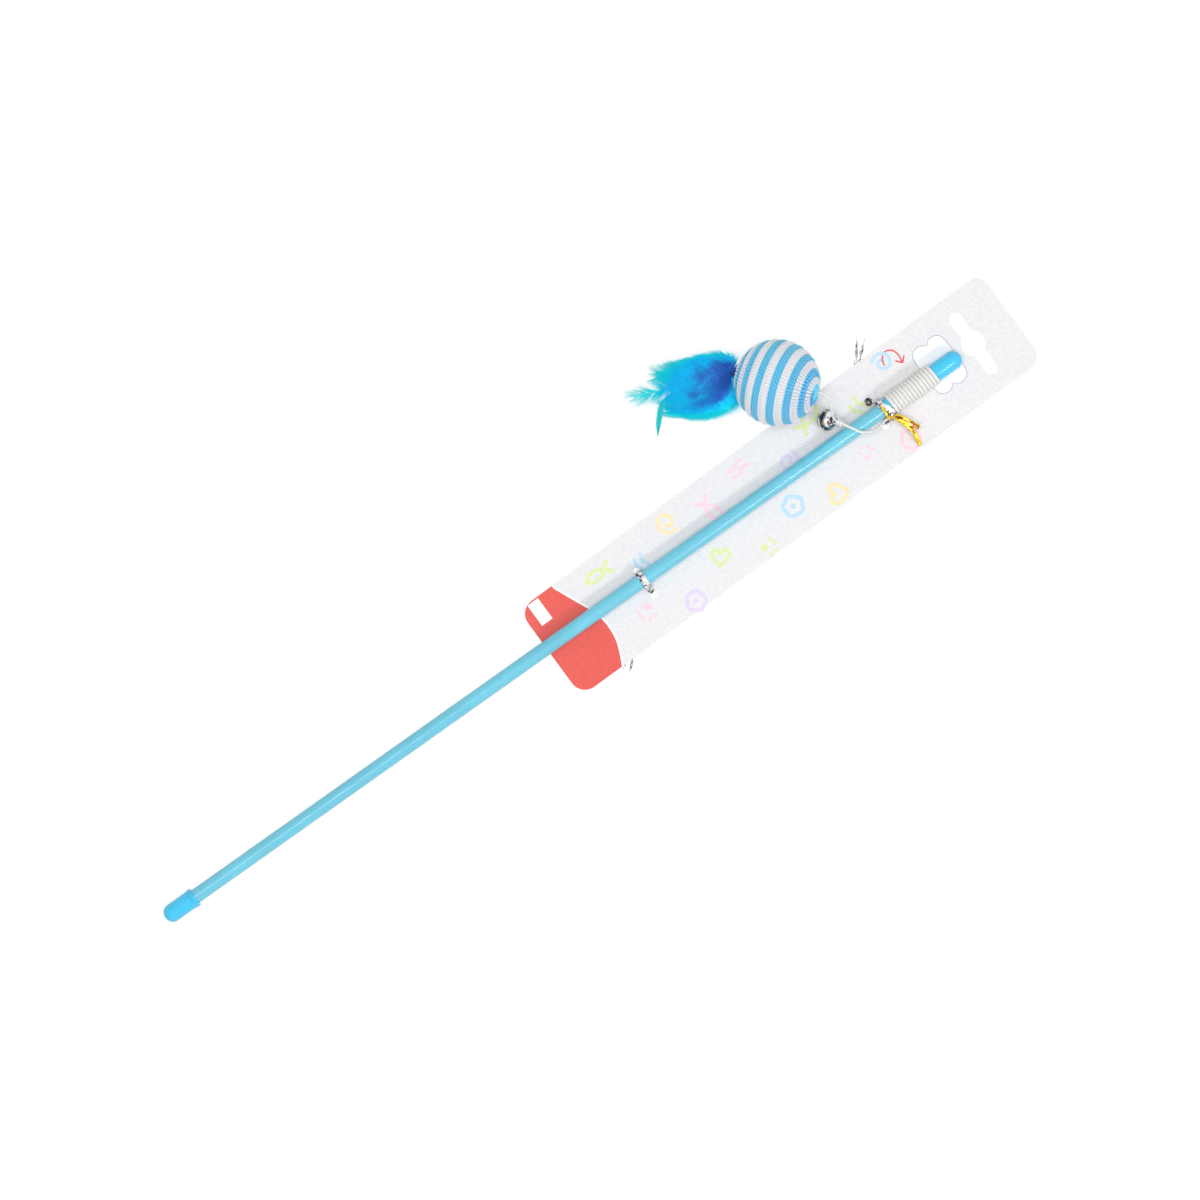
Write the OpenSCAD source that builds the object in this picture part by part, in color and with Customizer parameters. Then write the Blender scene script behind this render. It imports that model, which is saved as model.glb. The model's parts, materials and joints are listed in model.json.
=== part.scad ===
// Cat teaser wand on its hanging card.
// The wand lies along +X, from its grip end to its tip, and +Z points up out of the card's front.
// The origin is on the wand's axis, halfway along the plain part of the grip cap.

/* [Rod] */
// Length of the whole wand, over both end caps
wand_l = 451; // [430:1:500]
// Outer diameter of the rod
rod_d = 7; // [6:0.1:7.6]
// Wall of the hollow rod
rod_wall = 1; // [0.6:0.1:1.5]

/* [End caps] */
// Outer diameter of both soft end caps
cap_d = 8.8; // [8.4:0.1:9.2]
// Length of the cap on the grip end
grip_cap_l = 17; // [14:0.5:24]
// Height of the rounded end of each cap
cap_dome_h = 3.5; // [2.5:0.1:4]
// How far the rim at each cap's mouth stands out
cap_rim_out = 0.25; // [0.1:0.05:0.4]
// Length of the rim at each cap's mouth
cap_rim_l = 2; // [1:0.5:3]
// Length of the cap on the tip, most of it under the winding
tip_cap_l = 41.5; // [41:0.1:44]
// How deep the wound cord sinks into the soft tip cap
winding_bite = 0.25; // [0.1:0.05:0.4]

/* [Cord] */
// Diameter of the elastic cord
cord_d = 1.2; // [1:0.05:1.3]
// Turns of cord wound on the tip cap
winding_turns = 14; // [8:1:18]
// Distance from one turn to the next
winding_pitch = 1.78; // [1.7:0.01:2]
// Distance from the wand's tip to the winding's outer end
winding_from_tip = 15.3; // [12:0.1:18]

/* [Card] */
// Length of the backing card
card_l = 265.3; // [240:0.1:300]
// Width of the backing card
card_w = 49.6; // [44:0.1:60]
// Thickness of the board
card_t = 0.5; // [0.4:0.05:1]
// How far the card stands out past the wand's tip
card_past_tip = 30.3; // [26:0.1:40]
// How far the card is off the wand's line, at its middle
card_off = -1; // [-3:0.1:3]
// How far the card is turned against the wand, in degrees
card_turn = 0.84; // [0:0.02:1.5]
// Corner radius at the hanging end
card_hang_r = 6.5; // [3:0.5:9]
// Corner radius at the coloured end
card_foot_r = 7.5; // [3:0.5:9]
// Distance from the hanging end to the middle of the hang slot
slot_from_end = 21.5; // [18:0.1:26]
// Length of the hang slot, across the card
slot_l = 34.3; // [28:0.1:38]
// Width of the hang slot
slot_w = 6.5; // [5:0.1:8]
// Diameter of the round hole in the middle of the slot
slot_hole_d = 12; // [9:0.1:14]
// Diameter of the four holes for the ties
tie_hole_d = 3.5; // [3.2:0.1:4]
// Distance between the two holes of a pair, across the card
tie_hole_gap = 13.6; // [12.8:0.1:15]
// Distance from the wand's tip back to the pair of holes near the winding
tip_tie_back = 46.8; // [45.8:0.1:47.4]
// Distance from the wand's tip back to the pair of holes near the card's middle
middle_tie_back = 179.8; // [140:0.1:190]

/* [Ties] */
// Width of the foil ribbon of the silver ties
silver_w = 2.4; // [1.8:0.1:2.6]
// Width of the foil ribbon of the gold tie
gold_w = 2; // [1.6:0.1:2.2]
// Thickness of the foil ribbon
foil_t = 0.3; // [0.2:0.05:0.35]
// Width of a twisted pair of ribbons
shank_w = 1.5; // [1.2:0.1:1.5]
// Thickness of a twisted pair of ribbons
shank_t = 0.8; // [0.6:0.1:1]
// Room for the twisted ties behind the card
tie_room = 1.8; // [1.8:0.1:2.4]

/* [Ball] */
// Diameter of the wrapped ball
ball_d = 40; // [36:0.5:42]
// Thickness of the knitted strands round the ball
strand_t = 2.3; // [1.8:0.1:2.6]
// Width of each knitted strand
strand_w = 3.25; // [2.6:0.05:3.3]
// Turns of each of the two strands, from pole to pole
strand_turns = 7; // [4:1:8]
// Wall of the hollow core
core_wall = 1.5; // [1:0.1:2.5]
// How far the ball's middle is behind the wand's tip
ball_back = 77.4; // [76:0.1:80]
// How far the ball's middle is beside the wand
ball_beside = 38.3; // [37:0.1:42]
// Diameter of the bound quills that plug the far pole
binding_d = 4.6; // [4:0.1:5]
// Length of the bound quills
binding_l = 7; // [5:0.1:8]

/* [Feathers] */
// Length of the long plume
long_l = 48; // [40:0.5:52]
// Width of the long plume
long_w = 16; // [12:0.5:18]
// Thickness of the long plume, over its fluff
long_t = 7; // [4:0.5:8]
// Length of the plume nearer the wand
left_l = 38; // [30:0.5:42]
// Width of the plume nearer the wand
left_w = 13; // [9:0.5:14]
// Thickness of the plume nearer the wand, over its fluff
left_t = 6; // [4:0.5:6.5]
// Length of the plume on the far side
right_l = 36; // [30:0.5:42]
// Width of the plume on the far side
right_w = 11; // [8:0.5:13]
// Thickness of the plume on the far side, over its fluff
right_t = 6; // [4:0.5:6.5]
// Length of the thin hackle feather
hackle_l = 47; // [40:0.5:50]
// Width of the hackle feather near its tip
hackle_w = 3.4; // [2:0.1:4]
// Thickness of the hackle feather
hackle_t = 0.8; // [0.6:0.1:1.2]
// Width of each feather's bare quill
quill_w = 0.8; // [0.6:0.1:1]

/* [Bell] */
// Diameter of the round bell
bell_d = 9.2; // [8.4:0.1:9.4]
// Thickness of the bell's sheet metal
bell_wall = 0.4; // [0.3:0.05:0.6]
// How far the seam round the bell stands out
seam_out = 0.25; // [0.15:0.05:0.35]
// Height of the seam
seam_h = 0.9; // [0.6:0.1:1.2]
// Width of the slot in the bell's lower half
bell_slot_w = 1; // [0.8:0.1:1.2]
// Diameter of the holes at the slot's ends
bell_slot_end_d = 1.9; // [1.4:0.1:2.2]
// Diameter of the loose pea inside the bell
pea_d = 2.8; // [2.4:0.1:3.4]
// Diameter of the wire of the bell's loop
loop_wire_d = 0.8; // [0.6:0.1:0.9]
// Width of the hole in the bell's loop
loop_hole_d = 2.6; // [2.4:0.1:2.8]
// How far the bell's loop is behind the wand's tip
bell_back = 65; // [64:0.1:66]
// How far the bell's loop is beside the wand
bell_beside = 8.6; // [8:0.1:9.2]

/* [Hidden] */

// Fineness of the round shapes
$fn = 64;
// Overrun of a cut past the face that it goes through
overrun = 1;
// Clearance between a cap and the rod, and between a plug and its hole
fit_gap = 0.03;
// Clearance between pieces that lie on each other without being fixed
rest_gap = 0.3;
// Clearance between the winding and the card under it
card_gap = 0.2;

// Places along the wand
grip_tip_x = -(cap_dome_h + (grip_cap_l - cap_rim_l)) / 2;
tip_x = grip_tip_x + wand_l;
tip = [tip_x, 0, 0];
rod_r = rod_d / 2;
cap_r = cap_d / 2;
cord_r = cord_d / 2;
// Thickness of each cap's closed end, in which the rod stops
cap_end_wall = 2;

// Levels: the winding almost rests on the card, and the twisted ties behind the card stand on the floor
winding_r = cap_r - winding_bite + cord_r + fit_gap;
card_front_z = -(winding_r + cord_r + card_gap);
card_back_z = card_front_z - card_t;
floor_z = card_back_z - tie_room;

// The ball stands on the floor beside the card, with its cord pole towards the bell
ball_r = ball_d / 2;
ball_c = [tip_x - ball_back, ball_beside, floor_z + ball_r];
ball_axis = unit([0.61, -0.73, 0.31]);
ball_up = unit(perp([0, 0, 1], ball_axis));
ball_side = cross(ball_axis, ball_up);
pole = ball_c + ball_axis * ball_r;
// Polar angles, in degrees, at which the strands start at the cord and end at the feathers
cord_pole_angle = 10;
feather_pole_angle = 14;
strand_rings = 24;
strand_sides = 6;
strand_mid_r = ball_r - strand_t / 2;
core_r = ball_r - strand_t - rest_gap;
// Radius of the knot in the cord's end
anchor_knot_r = 1.7;
cord_hole_r = cord_r + rest_gap;
// How far the bound quills stand out of the ball
binding_out = 1.5;
binding_face = ball_c - ball_axis * (ball_r + binding_out);

// The bell leans on the card, and the cord goes through its loop
bell_r = bell_d / 2;
// How far the slots run round from the bell's lowest point, in degrees
bell_slot_angle = 50;
bell_axis = unit([0.445, -0.4, 0.8]);
loop_mid_r = (loop_hole_d + loop_wire_d) / 2;
loop_stand = loop_mid_r - fit_gap;
bell_z = card_front_z + rest_gap + bell_r;
loop_c = [tip_x - bell_back, bell_beside, bell_z + bell_axis.z * (bell_r + loop_stand)];
bell_c = loop_c - bell_axis * (bell_r + loop_stand);

// The cord's route from the gold tie over the rod and through the bell's loop to the ball's pole.
// Each point is measured from the wand's tip.
bend_c = tip + [-60.1, 0, 4.8];
// Length of the cord's straight run into the ball
pole_run = 3;
tie_side_route = [
    tip + [-46.4, -4.8, -0.6],
    tip + [-48.6, -5.4, -0.3],
    tip + [-51.2, -5.9, 0.5],
    tip + [-53.8, -5.6, 1.9],
    tip + [-56.2, -4.2, 3.3],
    tip + [-58.7, -2.3, 4.8],
    bend_c
];
ball_side_route = [
    bend_c,
    tip + [-61.5, 2.3, 4.8],
    tip + [-62.6, 4.3, 4.6],
    tip + [-63.8, 6.4, 4.4],
    loop_c,
    tip + [-65.1, 10.2, 5.9],
    tip + [-64.7, 11.9, 8.4],
    tip + [-64.2, 13.8, 11.6],
    tip + [-63.6, 16, 14.9],
    tip + [-63, 18.6, 17.9],
    pole + ball_axis * pole_run,
    pole
];
knot_c = ball_side_route[3];
knot_axis = unit(ball_side_route[4] - ball_side_route[2]);
loop_normal = unit(perp(ball_side_route[5] - ball_side_route[3], bell_axis));
cord_sides = 8;

// Ribbon ties: how far their middle line stays off what they hold
tie_off = rest_gap + foil_t / 2;
// How far behind the wand's tip the silver tie crosses the rod, clear of the cap, and the gold ring lies
silver_back = tip_cap_l + rest_gap + silver_w / 2;
gold_back = silver_back + rest_gap + (silver_w + gold_w) / 2;
back_run_z = card_back_z - tie_off;
shank_z = card_back_z - tie_room / 2;
card_mid = [tip_x + card_past_tip - card_l / 2, card_off, 0];

// Helpers for vectors
function unit(v) = v / norm(v);
function perp(v, axis) = v - axis * (v * axis);
function mix(a, b, t) = a * (1 - t) + b * t;
function bezier(a, b, c, d, t) =
    mix(mix(mix(a, b, t), mix(b, c, t), t), mix(mix(b, c, t), mix(c, d, t), t), t);
function card_point(back, across) =
    let (along = tip_x - back - card_mid.x)
    [card_mid.x + along - across * sin(card_turn), card_mid.y + along * sin(card_turn) + across, 0];

// Direction of a path at point i, from the point before it to the point after it
function along(path, i) = unit(path[min(i + 1, len(path) - 1)] - path[max(i - 1, 0)]);

// A smooth curve through hand-chosen points, with n steps between each two
function smooth_route(pts, n) = [
    for (i = [0 : len(pts) - 2], k = [0 : n - 1])
        let (
            a = pts[i],
            b = pts[i + 1],
            m = (b - pts[max(i - 1, 0)]) / 6,
            o = (pts[min(i + 2, len(pts) - 1)] - a) / 6
        )
        bezier(a, a + m, b - o, b, k / n),
    pts[len(pts) - 1]
];

// Least distance between a path's turns, counted from half a turn to one and a half turns on
function least_gap(path, rings, width) = min([
    for (i = [0 : len(path) - 1 - rings / 2], j = [i + rings / 2 : min(i + rings * 3 / 2, len(path) - 1)])
        norm(path[i] - path[j]) - width
]);

// A closed skin over rings of points, each with the same number of sides, and flat ends
module skin(points, sides) {
    last = len(points) - sides;
    faces = [
        for (a = [0 : sides : last - sides], k = [0 : sides - 1])
            let (p = a + k, q = a + (k + 1) % sides)
            for (f = [[p, q, q + sides], [p, q + sides, p + sides]]) f,
        for (k = [1 : sides - 2]) [0, k + 1, k],
        for (k = [1 : sides - 2]) [last, last + k, last + k + 1]
    ];
    polyhedron(points = points, faces = faces);
}

// A closed tube along a path. ups gives the direction of each ring's thickness, and each ring has its own
// width across the path and thickness along its up direction.
module sweep(path, ups, widths, thicks, sides) {
    skin([
        for (i = [0 : len(path) - 1])
            let (
                t = along(path, i),
                up = unit(perp(ups[i], t)),
                side = cross(t, up)
            )
            for (k = [0 : sides - 1])
                path[i] + side * cos(360 * k / sides) * widths[i] / 2
                    + up * sin(360 * k / sides) * thicks[i] / 2
    ], sides);
}

// A round cord along hand-chosen points
module cord(path) {
    sweep(path, [for (p = path) [0, 0, 1]], [for (p = path) cord_d], [for (p = path) cord_d], cord_sides);
}

// The corners of a ribbon's section, as shares of its half width and half thickness
corner_shares = [[1, 1], [-1, 1], [-1, -1], [1, -1]];

// A flat ribbon along a path, with its flat side facing along ups
module ribbon(path, ups, w) {
    skin([
        for (i = [0 : len(path) - 1])
            let (
                t = along(path, i),
                up = unit(perp(ups[i], t)),
                side = cross(t, up)
            )
            for (c = corner_shares) path[i] + side * c[0] * w / 2 + up * c[1] * foil_t / 2
    ], len(corner_shares));
}

// Two ribbons twisted round each other, as one flat bar that turns about its own line
module shank(a, b, turns) {
    steps = 8 * turns;
    v = b - a;
    flat = unit(cross(v, [0, 0, 1]));
    rise = unit(cross(flat, v));
    skin([
        for (i = [0 : steps])
            let (
                turn = 360 * turns * i / steps,
                side = flat * cos(turn) + rise * sin(turn),
                up = rise * cos(turn) - flat * sin(turn)
            )
            for (c = corner_shares) a + v * i / steps + side * c[0] * shank_w / 2 + up * c[1] * shank_t / 2
    ], len(corner_shares));
}

// Turns +Z to point along a direction
module aim(dir) {
    rotate([0, acos(dir.z / norm(dir)), atan2(dir.y, dir.x)]) children();
}

module wand_tube() {
    color([0.5, 0.83, 0.9, 0.8])
    translate([grip_tip_x + cap_end_wall, 0, 0])
    rotate([0, 90, 0])
    difference() {
        cylinder(h = wand_l - 2 * cap_end_wall, r = rod_r);
        translate([0, 0, -overrun])
        cylinder(h = wand_l - 2 * cap_end_wall + 2 * overrun, r = rod_r - rod_wall);
    }
}

// A soft cap with a domed closed end at z = 0, bored to slip over the rod. From waist on to its mouth the
// wound cord squeezes it, so it is thinner there and has no rim.
module end_cap(cap_l, waist) {
    dome_r = (cap_r * cap_r + cap_dome_h * cap_dome_h) / (2 * cap_dome_h);
    difference() {
        union() {
            intersection() {
                translate([0, 0, dome_r]) sphere(r = dome_r);
                cylinder(h = cap_dome_h, r = cap_r);
            }
            translate([0, 0, cap_dome_h]) cylinder(h = waist - cap_dome_h, r = cap_r);
            if (waist < cap_l)
                translate([0, 0, waist]) cylinder(h = cap_l - waist, r = cap_r - winding_bite);
            else
                translate([0, 0, cap_l - cap_rim_l]) cylinder(h = cap_rim_l, r = cap_r + cap_rim_out);
        }
        translate([0, 0, cap_end_wall]) cylinder(h = cap_l, r = rod_r + fit_gap);
    }
}

module grip_cap() {
    color([0.27, 0.76, 0.93])
    translate([grip_tip_x, 0, 0])
    rotate([0, 90, 0])
    end_cap(grip_cap_l, grip_cap_l);
}

module tip_cap() {
    color([0.27, 0.76, 0.93])
    translate([tip_x, 0, 0])
    rotate([0, -90, 0])
    end_cap(tip_cap_l, winding_from_tip - cord_r);
}

// The winding's centre line: a helix from its outer end towards the grip, then a smooth run down onto the
// rod, through the gold tie, to the start of the free cord
winding_start = 200;
winding_rings = 24;
winding_sides = 6;
function winding_point(turn) =
    let (a = winding_start - 360 * turn)
    [tip_x - winding_from_tip - winding_pitch * turn, winding_r * cos(a), winding_r * sin(a)];
winding_exit = winding_point(winding_turns);
winding_dir = unit(winding_exit - winding_point(winding_turns - 1 / winding_rings));
lead_dir = unit(tie_side_route[1] - tie_side_route[0]);
exit_steps = 8;
// How far the run keeps to the direction of the last turn, and of the free cord
exit_pull = 3.2;
winding_path = concat(
    [winding_point(0) - unit(winding_point(1 / winding_rings) - winding_point(0)) * cord_d],
    [for (i = [0 : winding_turns * winding_rings]) winding_point(i / winding_rings)],
    [for (i = [1 : exit_steps]) bezier(
        winding_exit,
        winding_exit + winding_dir * exit_pull,
        tie_side_route[0] - lead_dir * (exit_pull + cord_d),
        tie_side_route[0] - lead_dir * cord_d,
        i / exit_steps)],
    [tie_side_route[0]]
);

module cord_winding() {
    color([0.91, 0.91, 0.89])
    sweep(winding_path, [for (p = winding_path) [0, p.y, p.z]],
        [for (p = winding_path) cord_d], [for (p = winding_path) cord_d], winding_sides);
}

module cord_lead_tie_side() {
    color([0.91, 0.91, 0.89]) cord(tie_side_route);
}

module cord_lead_ball_side() {
    color([0.91, 0.91, 0.89]) cord(ball_side_route);
}

// The loop of cord that is drawn tight beside the bell
module bell_knot() {
    color([0.91, 0.91, 0.89])
    translate(knot_c)
    aim(knot_axis)
    rotate_extrude()
    translate([cord_d + rest_gap / 3, 0])
    circle(r = cord_r, $fn = 24);
}

// The end of the cord inside the ball, with the knot that holds it
module cord_anchor() {
    knot_depth = ball_r - core_r + core_wall + anchor_knot_r + rest_gap / 2;
    color([0.91, 0.91, 0.89])
    translate(pole)
    aim(-ball_axis)
    union() {
        cylinder(h = knot_depth, r = cord_r, $fn = 24);
        translate([0, 0, knot_depth]) sphere(r = anchor_knot_r, $fn = 24);
    }
}

// Hollow core, with a small hole for the cord and a wider one for the bound quills
module ball_core() {
    color([0.85, 0.85, 0.85])
    translate(ball_c)
    aim(ball_axis)
    difference() {
        sphere(r = core_r);
        sphere(r = core_r - core_wall);
        cylinder(h = ball_r, r = cord_hole_r);
        mirror([0, 0, 1]) cylinder(h = ball_r, r = binding_d / 2 + fit_gap);
    }
}

// A knitted strand's centre line: it winds from pole to pole round the ball's axis
function strand_path(start) =
    let (
        steps = strand_turns * strand_rings,
        span = 180 - cord_pole_angle - feather_pole_angle
    )
    [for (i = [0 : steps])
        let (
            polar = cord_pole_angle + span * i / steps,
            turn = start + 360 * i / strand_rings
        )
        ball_c + (ball_axis * cos(polar) + (ball_up * cos(turn) + ball_side * sin(turn)) * sin(polar))
            * strand_mid_r];

module strand(start) {
    path = strand_path(start);
    over_flats = 1 / cos(180 / strand_sides);
    sweep(path, [for (p = path) p - ball_c], [for (p = path) strand_w],
        [for (p = path) strand_t * over_flats], strand_sides);
}

module ball_wrap_blue() {
    color([0.33, 0.73, 0.92]) strand(0);
}

module ball_wrap_white() {
    color([0.9, 0.9, 0.92]) strand(180);
}

module quill_binding() {
    color([0.16, 0.35, 0.68])
    translate(binding_face)
    aim(ball_axis)
    cylinder(h = binding_l, d = binding_d);
}

// Feathers. Each quill starts on the face of the bound quills, at a turn round the ball's axis, and runs
// straight out. The rest of its route is measured from the middle of that face, in shares of its length.
feather_sides = 12;
feather_steps = 3;
// Clearance between a quill's start and the face of the bound quills
quill_gap = 0.2;
// Distance of a plume's quill from the ball's axis
quill_off = 1.4;
// Length of a quill's straight start
quill_run = 1.5;
long_turn = 0;
long_route_shares = [[-0.08, 0.05, 0.05], [-0.22, 0.11, 0.12], [-0.43, 0.18, 0.13], [-0.64, 0.25, 0.05],
    [-0.8, 0.31, -0.03], [-0.92, 0.36, -0.08]];
left_turn = 110;
left_route_shares = [[-0.08, -0.02, -0.1], [-0.22, -0.13, -0.15], [-0.41, -0.15, -0.17],
    [-0.62, -0.12, -0.18], [-0.8, -0.02, -0.21], [-0.91, 0.06, -0.23]];
right_turn = 250;
right_route_shares = [[-0.06, 0.1, -0.11], [-0.15, 0.21, -0.18], [-0.32, 0.3, -0.19], [-0.51, 0.37, -0.2],
    [-0.68, 0.45, -0.23], [-0.79, 0.53, -0.26]];
hackle_route_shares = [[-0.18, 0.07, -0.01], [-0.43, 0.14, -0.02], [-0.65, 0.16, -0.03], [-0.76, 0.14, -0.04],
    [-0.87, 0.04, -0.07], [-0.97, -0.08, -0.11]];
plume_width_shares = [0.22, 0.8, 1, 0.85, 0.55, 0.15];
plume_thick_shares = [0.38, 1, 1, 0.85, 0.62, 0.22];
hackle_width_shares = [0.25, 0.3, 0.6, 0.88, 1, 0.24];
hackle_thick_shares = [1, 1, 1, 1, 1, 0.6];

module feather(seat_off, seat_turn, l, route_shares, w, width_shares, t, thick_shares) {
    seat = binding_face - ball_axis * quill_gap
        + (ball_up * cos(seat_turn) + ball_side * sin(seat_turn)) * seat_off;
    path = smooth_route(
        concat([seat, seat - ball_axis * quill_run], [for (p = route_shares) binding_face + p * l]),
        feather_steps);
    sizes = smooth_route(
        concat([[quill_w, quill_w], [quill_w, quill_w]],
            [for (i = [0 : len(width_shares) - 1]) [width_shares[i] * w, thick_shares[i] * t]]),
        feather_steps);
    sweep(path, [for (p = path) [0, 0, 1]], [for (s = sizes) s[0]], [for (s = sizes) s[1]], feather_sides);
}

module plume_long() {
    color([0.1, 0.65, 0.9])
    feather(quill_off, long_turn, long_l, long_route_shares, long_w, plume_width_shares,
        long_t, plume_thick_shares);
}

module plume_left() {
    color([0.05, 0.72, 0.88])
    feather(quill_off, left_turn, left_l, left_route_shares, left_w, plume_width_shares,
        left_t, plume_thick_shares);
}

module plume_right() {
    color([0.05, 0.75, 0.86])
    feather(quill_off, right_turn, right_l, right_route_shares, right_w, plume_width_shares,
        right_t, plume_thick_shares);
}

module hackle() {
    color([0.05, 0.6, 0.6])
    feather(0, 0, hackle_l, hackle_route_shares, hackle_w, hackle_width_shares,
        hackle_t, hackle_thick_shares);
}

// Half of the bell's hollow ball, above its own z = 0
module half_bell() {
    intersection() {
        difference() {
            sphere(r = bell_r);
            sphere(r = bell_r - bell_wall);
        }
        translate([-bell_d, -bell_d, 0]) cube([2 * bell_d, 2 * bell_d, bell_d]);
    }
}

// Places children on the bell, with +Z towards its loop
module on_bell() {
    translate(bell_c) aim(bell_axis) children();
}

// Upper half, with the seam rolled round the rim of the lower half
module bell_upper_shell() {
    color([0.8, 0.8, 0.8])
    on_bell() {
        half_bell();
        difference() {
            translate([0, 0, -seam_h / 2]) cylinder(h = seam_h, r = bell_r + seam_out);
            translate([0, 0, -seam_h / 2 - overrun]) cylinder(h = seam_h / 2 + overrun, r = bell_r + fit_gap);
            sphere(r = bell_r - bell_wall / 2);
        }
    }
}

// Lower half, with two crossed slots that end in round holes
module bell_lower_shell() {
    slot_reach = bell_r * sin(bell_slot_angle);
    color([0.8, 0.8, 0.8])
    on_bell()
    difference() {
        mirror([0, 0, 1]) half_bell();
        for (turn = [0, 90])
            rotate([0, 0, turn])
            translate([0, 0, -bell_r - overrun]) {
                translate([-slot_reach, -bell_slot_w / 2, 0])
                cube([2 * slot_reach, bell_slot_w, bell_r]);
                for (side = [-1, 1])
                    translate([side * slot_reach, 0, 0])
                    cylinder(h = bell_r, d = bell_slot_end_d, $fn = 24);
            }
    }
}

module bell_loop() {
    color([0.8, 0.8, 0.8])
    translate(loop_c)
    aim(loop_normal)
    rotate_extrude()
    translate([loop_mid_r, 0])
    circle(d = loop_wire_d, $fn = 24);
}

module bell_pea() {
    color([0.5, 0.5, 0.5])
    translate(bell_c - [0, 0, bell_r - bell_wall - pea_d / 2 - rest_gap / 2])
    sphere(d = pea_d, $fn = 32);
}

// One side of a silver tie's arch, from behind the card up through its hole and on to the rod's top.
// side is 1 or -1 along Y, and reach is how far out the ribbon stays beside the rod. Each row of shares gives
// how far along X the point is from the hole to the top, its shares of the reach and of the hole's distance
// that make its Y, and its share of the top's height.
arch_shares = [[0.35, 0.5, 0.5, -0.76], [0.92, 0.98, 0, -0.1], [1, 0.77, 0, 0.48], [1, 0.43, 0, 0.84]];
arch_top = rod_r + tie_off;
tie_steps = 3;
function arch_side(hole, top_x, side, reach) = concat(
    [hole + [0, 0, back_run_z], hole + [0, 0, card_front_z]],
    [for (s = arch_shares) [
        mix(hole.x, top_x, s[0]),
        side * s[1] * reach + s[2] * hole.y,
        s[3] * arch_top
    ]]
);

// A silver tie: its arch, its two ends drawn together behind the card, their twist, and the two free tails.
// from is the hole that the twist runs from.
module silver_tie(hole_a, hole_b, top_x, reaches, from, twist_turn, twist_l, turns, tail_turn, tail_l) {
    middle_y = (hole_a.y + hole_b.y) / 2;
    out = [cos(twist_turn), sin(twist_turn), 0];
    twist_a = from + out * twist_start + [0, 0, shank_z];
    twist_b = twist_a + out * twist_l;
    side_a = arch_side(hole_a, top_x, 1, reaches[0]);
    side_b = arch_side(hole_b, top_x, -1, reaches[1]);
    back_b = [for (i = [len(side_b) - 1 : -1 : 0]) side_b[i]];
    arch = smooth_route(concat(side_a, [[top_x, 0, arch_top]], back_b), tie_steps);
    color([0.78, 0.79, 0.8])
    union() {
        ribbon(arch, [for (p = arch) [0, p.y - middle_y, p.z + rod_r]], silver_w);
        for (h = [hole_a, hole_b]) {
            start = h + [0, 0, back_run_z];
            flat_end = [twist_a.x, twist_a.y, back_run_z];
            run = [start, mix(start, flat_end, 0.5), twist_a];
            ribbon(run, [for (p = run) [0, 0, 1]], shank_w);
        }
        shank(twist_a, twist_b, turns);
        for (side = [-1, 1]) {
            turn = tail_turn + side * tail_spread / 2;
            tail = [twist_b, twist_b + [cos(turn), sin(turn), 0] * tail_l];
            ribbon(tail, [for (p = tail) [0, 0, 1]], silver_w);
        }
    }
}

// The twists start this far from their hole, and the tails of a twist spread by this angle
twist_start = 4;
tail_spread = 14;
tip_twist_turn = 76;
tip_twist_l = 12;
tip_tail_turn = 46;
tip_tail_l = 15.5;
middle_twist_turn = 214;
middle_twist_l = 20;
middle_tail_turn = 215;
middle_tail_l = 12.5;
// How far out a silver tie stays beside the bare rod
bare_reach = rod_r + 4 * tie_off;

module silver_tie_tip() {
    a = card_point(tip_tie_back, tie_hole_gap / 2);
    b = card_point(tip_tie_back, -tie_hole_gap / 2);
    silver_tie(a, b, tip_x - silver_back, [bare_reach, gold_far + tie_off + foil_t], a,
        tip_twist_turn, tip_twist_l, 2, tip_tail_turn, tip_tail_l);
}

module silver_tie_middle() {
    a = card_point(middle_tie_back, tie_hole_gap / 2);
    b = card_point(middle_tie_back, -tie_hole_gap / 2);
    silver_tie(a, b, a.x, [bare_reach, bare_reach], b,
        middle_twist_turn, middle_twist_l, 3, middle_tail_turn, middle_tail_l);
}

// The gold tie holds the cord against the rod with one ring, is twisted beside it, and ends in two tails.
// Its free end follows shares of gold_end_l, measured from the ring's middle.
gold_near = rod_r + tie_off;
gold_cord = [0, tie_side_route[0].y, tie_side_route[0].z];
gold_far = norm(gold_cord) + cord_r + tie_off;
gold_r = (gold_near + gold_far) / 2;
gold_c = [tip_x - gold_back, 0, 0] + unit(gold_cord) * (gold_far - gold_near) / 2;
gold_end_l = 20;
gold_neck_shares = [[0.06, -0.28, 0.2], [0.17, -0.36, 0.2]];
gold_fork_share = [0.36, -0.49, 0.15];
gold_wide_tail_shares = [[0.46, -0.64, 0.1], [0.52, -0.81, 0.03]];
gold_long_tail_shares = [[0.37, -0.72, 0.08], [0.34, -0.95, -0.03], [0.31, -1.17, -0.14]];
// Where the ring's ends leave it, round the wand from the side that the ball is on
gold_neck_turn = 140;

function gold_end_point(share) = [tip_x - gold_back, 0, 0] + share * gold_end_l;

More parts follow.
